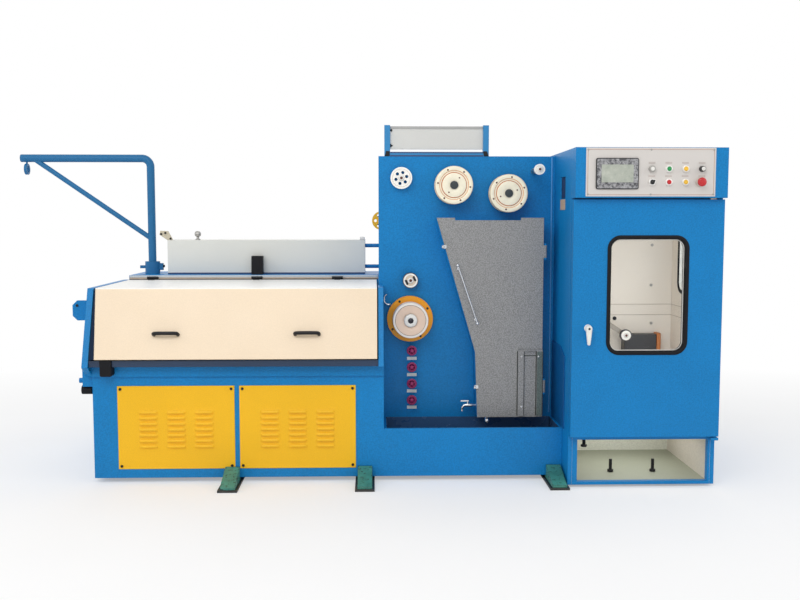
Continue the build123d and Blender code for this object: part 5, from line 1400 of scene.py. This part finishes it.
for pulley, (radius, bands) in PULLEYS.items():
    centre = middle(pulley)
    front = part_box(pulley)[0].y
    give_finish(pulley, turned_face(pulley + "_face", centre, bands, gloss=0.34))
    cover = lathe([(0.0, -COVER_RISE), (0.5 * radius, -COVER_RISE), (0.85 * radius, -0.8 * COVER_RISE),
                   (radius, -0.4 * COVER_RISE), (radius, -0.0003), (0.0, -0.0003)], centre, 40, depth=front)
    add_piece(pulley + "_cover", *cover, white_plastic, "machine")
    core = lathe([(0.0, -0.001), (0.32 * radius, -0.001), (0.48 * radius, 0.0), (0.0, 0.0)], centre, 32,
                 depth=front - COVER_RISE)
    add_piece(pulley + "_core", *core, sheave_bolt_brown, "machine")
entry_centre = middle("entry_pulley")
entry_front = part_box("entry_pulley")[0].y
# black plates over the entry pulley's slots: painted shade of the openings
entry_slot_shades = [rotated(slab(entry_centre[0] + offset, entry_centre[2], entry_front + 0.002, entry_front - 0.0006,
                            SLOT_WIDTH, SLOT_HEIGHT, 0.0030, 0.0003), entry_centre, SLOT_TURN)
               for offset in (-SLOT_OFFSET, SLOT_OFFSET)]
add_piece("entry_slot_shades", *merged(*entry_slot_shades), black_plastic, "entry_pulley")
print("pulleys:", list(PULLEYS))

# %% [markdown]
# Dark strips of painted shadow run along the two rails of the annealer's door and across between them. The right
# rail is a greener grey. A bright round rod down the folded right edge of the panel is a painted highlight.

# %% Rails, painted shadow lines and painted edge highlight of the annealer
RAILS_X = (0.886, 0.977)
RAIL_LOW, RAIL_HIGH = 0.281, 0.597
RAIL_HALF = 0.014
SHADOW_LINE = 0.0042
CROSS_SHADOW_DROP = 0.022
HIGHLIGHT_RADIUS, HIGHLIGHT_INSET = 0.0036, 0.015
# dark strips beside the rails: painted shadow
rail_shadow_grey = hammered("rail_shadow_grey", srgb(62, 68, 66))
rail_green = hammered("rail_green", srgb(104, 118, 114))
highlight_blue = enamel("highlight_blue", srgb(84, 160, 220), gloss=0.30, drift=0.05, grain=0.08)
rail_middle = (RAIL_LOW + RAIL_HIGH) / 2
rail_length = RAIL_HIGH - RAIL_LOW
shadow_line_spots = [(x + side * (RAIL_HALF + SHADOW_LINE / 2), rail_middle, SHADOW_LINE, rail_length) for x in RAILS_X for side in (-1, 1)]
shadow_line_spots.append((sum(RAILS_X) / 2, RAIL_HIGH - CROSS_SHADOW_DROP, RAILS_X[1] - RAILS_X[0] - 2 * RAIL_HALF, SHADOW_LINE))
shadow_lines = [slab(x, z, shield_face, shield_face - 0.0010, width, height, 0.0008, 0.0003)
         for x, z, width, height in shadow_line_spots]
add_piece("rail_shadow_lines", *merged(*shadow_lines), rail_shadow_grey, "chamber_door")
right_rail = slab(RAILS_X[1], rail_middle, rail_face, rail_face - 0.0008, 2 * RAIL_HALF - 0.002, rail_length - 0.002,
                  0.002, 0.0006)
add_piece("right_rail_face", *right_rail, rail_green, "chamber_door")
# bright blue rod: painted highlight on the panel's folded right edge
highlight_x = panel_high.x - HIGHLIGHT_INSET
edge_highlight = straight_bar((highlight_x, panel_low.y, panel_low.z + 0.02), (highlight_x, panel_low.y, panel_high.z - 0.004), HIGHLIGHT_RADIUS)
add_piece("panel_edge_highlight", *edge_highlight, highlight_blue, "machine")
print("rails", round(rail_length, 3), "m long with", len(shadow_lines), "shadow_lines")

# %% [markdown]
# The wire enters the spooler through a slot in its left wall, above a tan plate; a navy plate just inside the slot
# is painted shade. A folded guard, painted a darker blue as shade, stands over the drip tray below. On the
# annealer's panel a bent rod, most of a half ring on a short post, guides the wire.

# %% Wire slot, tray guard and wire guide
SLOT_Y = (-0.505, -0.395)
SLOT_Z = (1.330, 1.432)
SLOT_PLATE_HEIGHT = 0.050
GUARD_OUTLINE = [(-0.2450, 0.2550), (-0.2450, 0.6340), (-0.4600, 0.6340), (-0.5560, 0.5960), (-0.5560, 0.2550)]
GUARD_SHEET = 0.005
GUIDE_X, GUIDE_Z = 0.246, 0.842
GUIDE_RADIUS, GUIDE_ROD = 0.021, 0.0038
GUIDE_FORWARD = 0.016
GUIDE_POST = [(0.0, -0.018), (0.0050, -0.018), (0.0050, 0.0), (0.0, 0.0)]
slot_shade_navy = enamel("slot_shade_navy", srgb(24, 40, 78), gloss=0.5, drift=0.1, grain=0.1)
slot_tan = enamel("slot_tan", srgb(196, 168, 138), gloss=0.42, drift=0.06, grain=0.1)
guard_shade_blue = enamel("guard_shade_blue", srgb(10, 92, 154), **BLUE_PAINT)


def sideways(shape):
    """The same shape with its x and y exchanged, so that what faces -Y faces -X."""
    points, faces = shape
    return points[:, [1, 0, 2]], faces


wall_outer = header_low.x
slot_y, slot_z = sum(SLOT_Y) / 2, sum(SLOT_Z) / 2
slot_deep, slot_tall = SLOT_Y[1] - SLOT_Y[0], SLOT_Z[1] - SLOT_Z[0]
# navy plate just inside the wire slot: painted shade
slot_shade_plate = sideways(slab(slot_y, slot_z, wall_outer + 0.010, wall_outer + 0.004, slot_deep - 0.002, slot_tall - 0.002,
                         0.002, 0.0005))
add_piece("slot_shade_plate", *slot_shade_plate, slot_shade_navy, "machine")
slot_plate = sideways(slab(slot_y, SLOT_Z[0] - 0.028, wall_outer, wall_outer - 0.0015, slot_deep, SLOT_PLATE_HEIGHT,
                           0.002, 0.0005))
add_piece("slot_plate", *slot_plate, slot_tan, "machine")
# the guard's darker blue is painted shade
guard = sideways(prism(GUARD_OUTLINE, wall_outer, wall_outer - GUARD_SHEET))
add_piece("tray_guard", *guard, guard_shade_blue, "machine", smooth=20.0)
guide_angle = np.radians(np.linspace(110.0, 300.0, 25))
guide_ring = GUIDE_RADIUS * np.stack([np.cos(guide_angle), 1.25 * np.sin(guide_angle)], -1)
guide_path = outline_points(guide_ring, panel_low.y - GUIDE_FORWARD, GUIDE_X, GUIDE_Z)
guide = merged(sweep(guide_path, (0.0, 1.0, 0.0), circle_profile(GUIDE_ROD, 12)),
               lathe(GUIDE_POST, (GUIDE_X - GUIDE_RADIUS, 0.0, GUIDE_Z), 20, depth=panel_low.y))
add_piece("wire_guide", *guide, chrome, "machine")
print("wire slot", round(slot_deep, 3), "by", round(slot_tall, 3), "m")

# %% [markdown]
# Along the front of the deck runs a pale strip of painted glare above a tan hinge strip, with a dark line of painted
# shadow at its foot. The service box stands on a dark line of painted shadow as well.

# %% Deck strips
STRIP_PROUD = 0.0014
deck_glare_pale = enamel("deck_glare_pale", srgb(206, 216, 224), gloss=0.35, drift=0.05, grain=0.05)
strip_tan = enamel("strip_tan", srgb(222, 203, 182), gloss=0.40, drift=0.06, grain=0.08)
strip_shadow = enamel("strip_shadow", srgb(120, 108, 100), gloss=0.5, drift=0.08, grain=0.08)
foot_shadow = enamel("foot_shadow", srgb(52, 70, 112), gloss=0.45, drift=0.08, grain=0.08)
gearbox_low, gearbox_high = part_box("gearbox_housing")
deck_top = gearbox_high.z
deck_front = gearbox_low.y
deck_middle = (gearbox_low.x + gearbox_high.x) / 2
deck_length = gearbox_high.x - gearbox_low.x - 0.004
# the pale strip along the deck's front is painted glare; the dark foot line is painted shadow
STRIPS = [("deck_glare_strip", deck_top - 0.0115, deck_top - 0.0005, STRIP_PROUD, deck_glare_pale),
          ("deck_hinge_strip", lid_high.z + 0.0040, deck_top - 0.0120, STRIP_PROUD, strip_tan),
          ("deck_strip_foot", lid_high.z - 0.0010, lid_high.z + 0.0038, STRIP_PROUD - 0.0004, strip_shadow)]
for name, bottom, top, proud, material in STRIPS:
    strip = slab(deck_middle, (bottom + top) / 2, deck_front, deck_front - proud, deck_length, top - bottom, 0.0012,
                 0.0004)
    add_piece(name, *strip, material, "machine")
service_low, service_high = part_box("service_box")
service_foot = slab((service_low.x + service_high.x) / 2, deck_top + 0.0042, service_low.y, service_low.y - 0.0015,
                    service_high.x - service_low.x, 0.0080, 0.001, 0.0004)
add_piece("service_foot_line", *service_foot, foot_shadow, "machine")
print("deck strips", round(deck_length, 3), "m long")

# %% [markdown]
# Small fittings sit on the service box: a sloping tan plate with three bolts, a valve with a round head, turned like
# a knob, and a bright lug.

# %% Fittings of the service box
PLATE_OUTLINE = [(-0.952, 1.1212), (-0.922, 1.1212), (-0.948, 1.1700), (-0.990, 1.1720), (-0.994, 1.1500)]
PLATE_BOLTS = [(-0.985, 1.1540), (-0.962, 1.1600), (-0.934, 1.1290)]
PLATE_DEPTH = 0.012
VALVE_X, VALVE_BEHIND = -0.7925, 0.036
VALVE_OUTLINE = [(0.0, 0.0), (0.0130, 0.0), (0.0130, 0.0060), (0.0075, 0.0080), (0.0075, 0.0180), (0.0150, 0.0220),
                 (0.0172, 0.0300), (0.0172, 0.0380), (0.0140, 0.0450), (0.0060, 0.0490), (0.0, 0.0490)]
LUG_X = 0.112
LUG_WIDTH, LUG_HEIGHT, LUG_DEPTH = 0.026, 0.018, 0.022
service_front = service_low.y
service_plate = prism(PLATE_OUTLINE, service_front + PLATE_DEPTH, service_front)
fittings_piece = add_piece("service_plate", *service_plate, tan_enamel, "machine", smooth=20.0)
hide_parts("service_fittings")
plate_bolts = copies(screw_head(0.0058, 0.0050), [(x, service_front, z) for x, z in PLATE_BOLTS])
add_piece("service_plate_bolts", *plate_bolts, dark_bolt, "machine")
valve_shape = upright(lathe(VALVE_OUTLINE, (VALVE_X, 0.0, service_front + VALVE_BEHIND), 28, depth=service_high.z))
add_piece("service_valve", *valve_shape, steel, "machine")
service_lug = slab(LUG_X, service_high.z + LUG_HEIGHT / 2, service_front + LUG_DEPTH, service_front, LUG_WIDTH,
                   LUG_HEIGHT, 0.006, 0.002)
add_piece("service_lug", *service_lug, chrome, "machine")
print("service fittings at x =", PLATE_OUTLINE[0][0], VALVE_X, LUG_X)

# %% [markdown]
# The board on the annealer has a darker top rail, a clip and a corner piece at its left edge, dark feet at its two
# posts and two dark lines along its bar.

# %% Board on the annealer
BOARD_RAIL = 0.0130
CLIP_DEPTH = 0.004
FOOT_HEIGHT, FOOT_DEPTH = 0.024, 0.003
BAR_LINES = ((0.0170, 0.0050), (0.0020, 0.0070))
rail_grey = enamel("rail_grey", srgb(172, 172, 170), gloss=0.42, drift=0.05, grain=0.05)
board_low, board_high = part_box("top_board")
frame_low, frame_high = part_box("board_frame")
board_rail = slab((board_low.x + board_high.x) / 2, board_high.z - BOARD_RAIL / 2, board_low.y, board_low.y - 0.0020,
                  board_high.x - board_low.x, BOARD_RAIL, 0.0015, 0.0006)
add_piece("board_rail", *board_rail, rail_grey, "machine")
clip_front = board_low.y - CLIP_DEPTH
board_clips = merged(slab(board_low.x + 0.006, board_low.z + 0.091, board_low.y, clip_front, 0.011, 0.010, 0.003),
                     prism([(board_low.x, board_low.z + 0.008), (board_low.x + 0.014, board_low.z + 0.018),
                            (board_low.x, board_low.z + 0.026)], board_low.y, clip_front))
add_piece("board_clips", *board_clips, black_satin, "machine")
foot_top = frame_low.z + FOOT_HEIGHT
board_feet = merged(*[prism([(x - 0.012, frame_low.z), (x + 0.012, frame_low.z), (x + lean + 0.008, foot_top),
                             (x + lean - 0.010, foot_top)], frame_low.y, frame_low.y - FOOT_DEPTH)
                      for x, lean in ((frame_low.x + 0.014, 0.004), (frame_high.x - 0.012, -0.006))])
add_piece("board_post_feet", *board_feet, black_satin, "machine")
board_lines = merged(*[slab((frame_low.x + frame_high.x) / 2, frame_low.z + rise, frame_low.y, frame_low.y - 0.0008,
                            frame_high.x - frame_low.x - 0.056, height, 0.0008, 0.0003) for rise, height in BAR_LINES])
add_piece("board_lines", *board_lines, foot_shadow, "machine")
print("board", round(board_high.x - board_low.x, 3), "m wide")

# %% [markdown]
# At the left end a black rubber block carries the lid's foot, a rubber roller hangs under the lower bracket, and a
# bolt holds the upper one. Another clamps the arm's socket. A dark strip of painted shadow, for the gap beside the
# side plate, runs down the lid's left edge and grows wider towards the foot: it is drawn flat, as a thin prism, and
# then laid on the sloping face by writing its three axes in the lid's own directions.

# %% Left end
BLOCK_X, BLOCK_Z = -1.056, 0.551
BLOCK_WIDTH, BLOCK_HEIGHT, BLOCK_DEPTH = 0.054, 0.076, 0.055
ROLLER_X = (-1.196, -1.150)
ROLLER_RADIUS, ROLLER_BEHIND = 0.021, 0.030
EAR_BOLT = (-1.232, -0.395, 0.826)
SHADOW_STRIP_FOOT, SHADOW_STRIP_HEAD = 0.024, 0.003
SHADOW_STRIP_SUNK, SHADOW_STRIP_PROUD = 0.0005, 0.0012
CLAMP_Z, CLAMP_RADIUS = 0.977, 0.007
lid_gap_shadow_navy = enamel("lid_gap_shadow_navy", srgb(10, 32, 58), gloss=0.6, drift=0.1, grain=0.1, shine=0.15)
base_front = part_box("base_frame")[0].y
rest_block = slab(BLOCK_X, BLOCK_Z, base_front, base_front - BLOCK_DEPTH, BLOCK_WIDTH, BLOCK_HEIGHT, 0.008, 0.003)
add_piece("lid_rest_block", *rest_block, rubber, "machine")
bracket_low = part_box("end_brackets")[0]
roller_ends = [(x, bracket_low.y + ROLLER_BEHIND, bracket_low.z - ROLLER_RADIUS + 0.002) for x in ROLLER_X]
roller = straight_bar(*roller_ends, ROLLER_RADIUS, count=28)
add_piece("bracket_roller", *roller, rubber, "machine")
ear_bolt = copies(screw_head(0.0065, 0.0040), [EAR_BOLT])
add_piece("bracket_bolt", *ear_bolt, dark_bolt, "machine")
# dark strip down the lid's left edge: painted shadow of the gap beside the side plate
flat_shadow, shadow_faces = prism([(0.0, 0.0), (SHADOW_STRIP_FOOT, 0.0), (SHADOW_STRIP_HEAD, lid_face), (0.0, lid_face)], SHADOW_STRIP_SUNK,
                              -SHADOW_STRIP_PROUD)
lid_axes = np.array([(1.0, 0.0, 0.0), -lid_outward, lid_slope])
edge_shadow = np.array(lid_low) + flat_shadow @ lid_axes
add_piece("lid_edge_shadow", edge_shadow, shadow_faces, lid_gap_shadow_navy, "lid")
socket_low, socket_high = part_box("arm_socket")
socket_y = (socket_low.y + socket_high.y) / 2
clamp_bolt = straight_bar((socket_high.x - 0.002, socket_y, CLAMP_Z), (socket_high.x + 0.008, socket_y, CLAMP_Z),
                          CLAMP_RADIUS)
add_piece("clamp_bolt", *clamp_bolt, dark_bolt, "machine")
print("lid face", round(lid_face, 3), "m from edge to edge")

# %% [markdown]
# Under the spooler's floor one more dark bolt hangs at the left. It is a short length of the levelling bolts' rod
# with their nut at its foot.

# %% Hanging bolt
HANGER_X, HANGER_Y = 1.149, -0.605
HANGER_FOOT, HANGER_TOP = 0.181, 0.242
hanger = merged(threaded_rod(HANGER_X, HANGER_Y, HANGER_FOOT + 0.008, HANGER_TOP),
                hexagon_nut(HANGER_X, HANGER_Y, HANGER_FOOT, HANGER_FOOT + 0.010))
add_piece("hanging_bolt", *hanger, dark_bolt, "machine")
print("hanging bolt", round(HANGER_TOP - HANGER_FOOT, 3), "m long")

# %% [markdown]
# The floor is a plain pale sheet, wide enough that its edges never show. It catches the soft shadow of the machine,
# and away from it fades into plain white. Only the camera sees that white: to every other ray it gives no light.

# %% Floor
FLOOR_REACH = 14.0
SHADOW_REACH, WHITE_REACH = 1.0, 3.2
SHADOW_WHITE = 0.35
floor_material, tree, shader, place = new_material("studio_floor")
floor_colour = blend_colour(tree, clouds(tree, place, 0.8, 3.0), srgb(250, 250, 250), srgb(254, 254, 254))
tree.links.new(floor_colour, shader.inputs["Base Color"])
shader.inputs["Roughness"].default_value = 0.8
distance = vector_value(tree, "LENGTH", mapped(tree, place, (0.5, 1.0, 1.0)))
far = spread(tree, distance, SHADOW_REACH, WHITE_REACH, SHADOW_WHITE, 1.0)
seen = math_node(tree, "MULTIPLY", far, add_node(tree, "LightPath", {})["Is Camera Ray"])
white = add_node(tree, "Emission", {"Color": WHITE, "Strength": 1.0})[0]
tree.links.new(mix_shader(tree, seen, shader.outputs[0], white), tree.nodes["Material Output"].inputs["Surface"])
floor_side = np.linspace(-FLOOR_REACH, FLOOR_REACH, 3)
floor_x, floor_y = np.meshgrid(floor_side, floor_side)
floor_points = np.stack([floor_x, floor_y, np.zeros_like(floor_x)], -1).reshape(-1, 3)
floor_mesh = bpy.data.meshes.new("studio_floor")
floor_mesh.from_pydata(floor_points.tolist(), [], grid_faces(3, 3).tolist())
floor_mesh.materials.append(floor_material)
floor = bpy.data.objects.new("studio_floor", floor_mesh)
scene.collection.objects.link(floor)
print("floor", 2 * FLOOR_REACH, "m square")
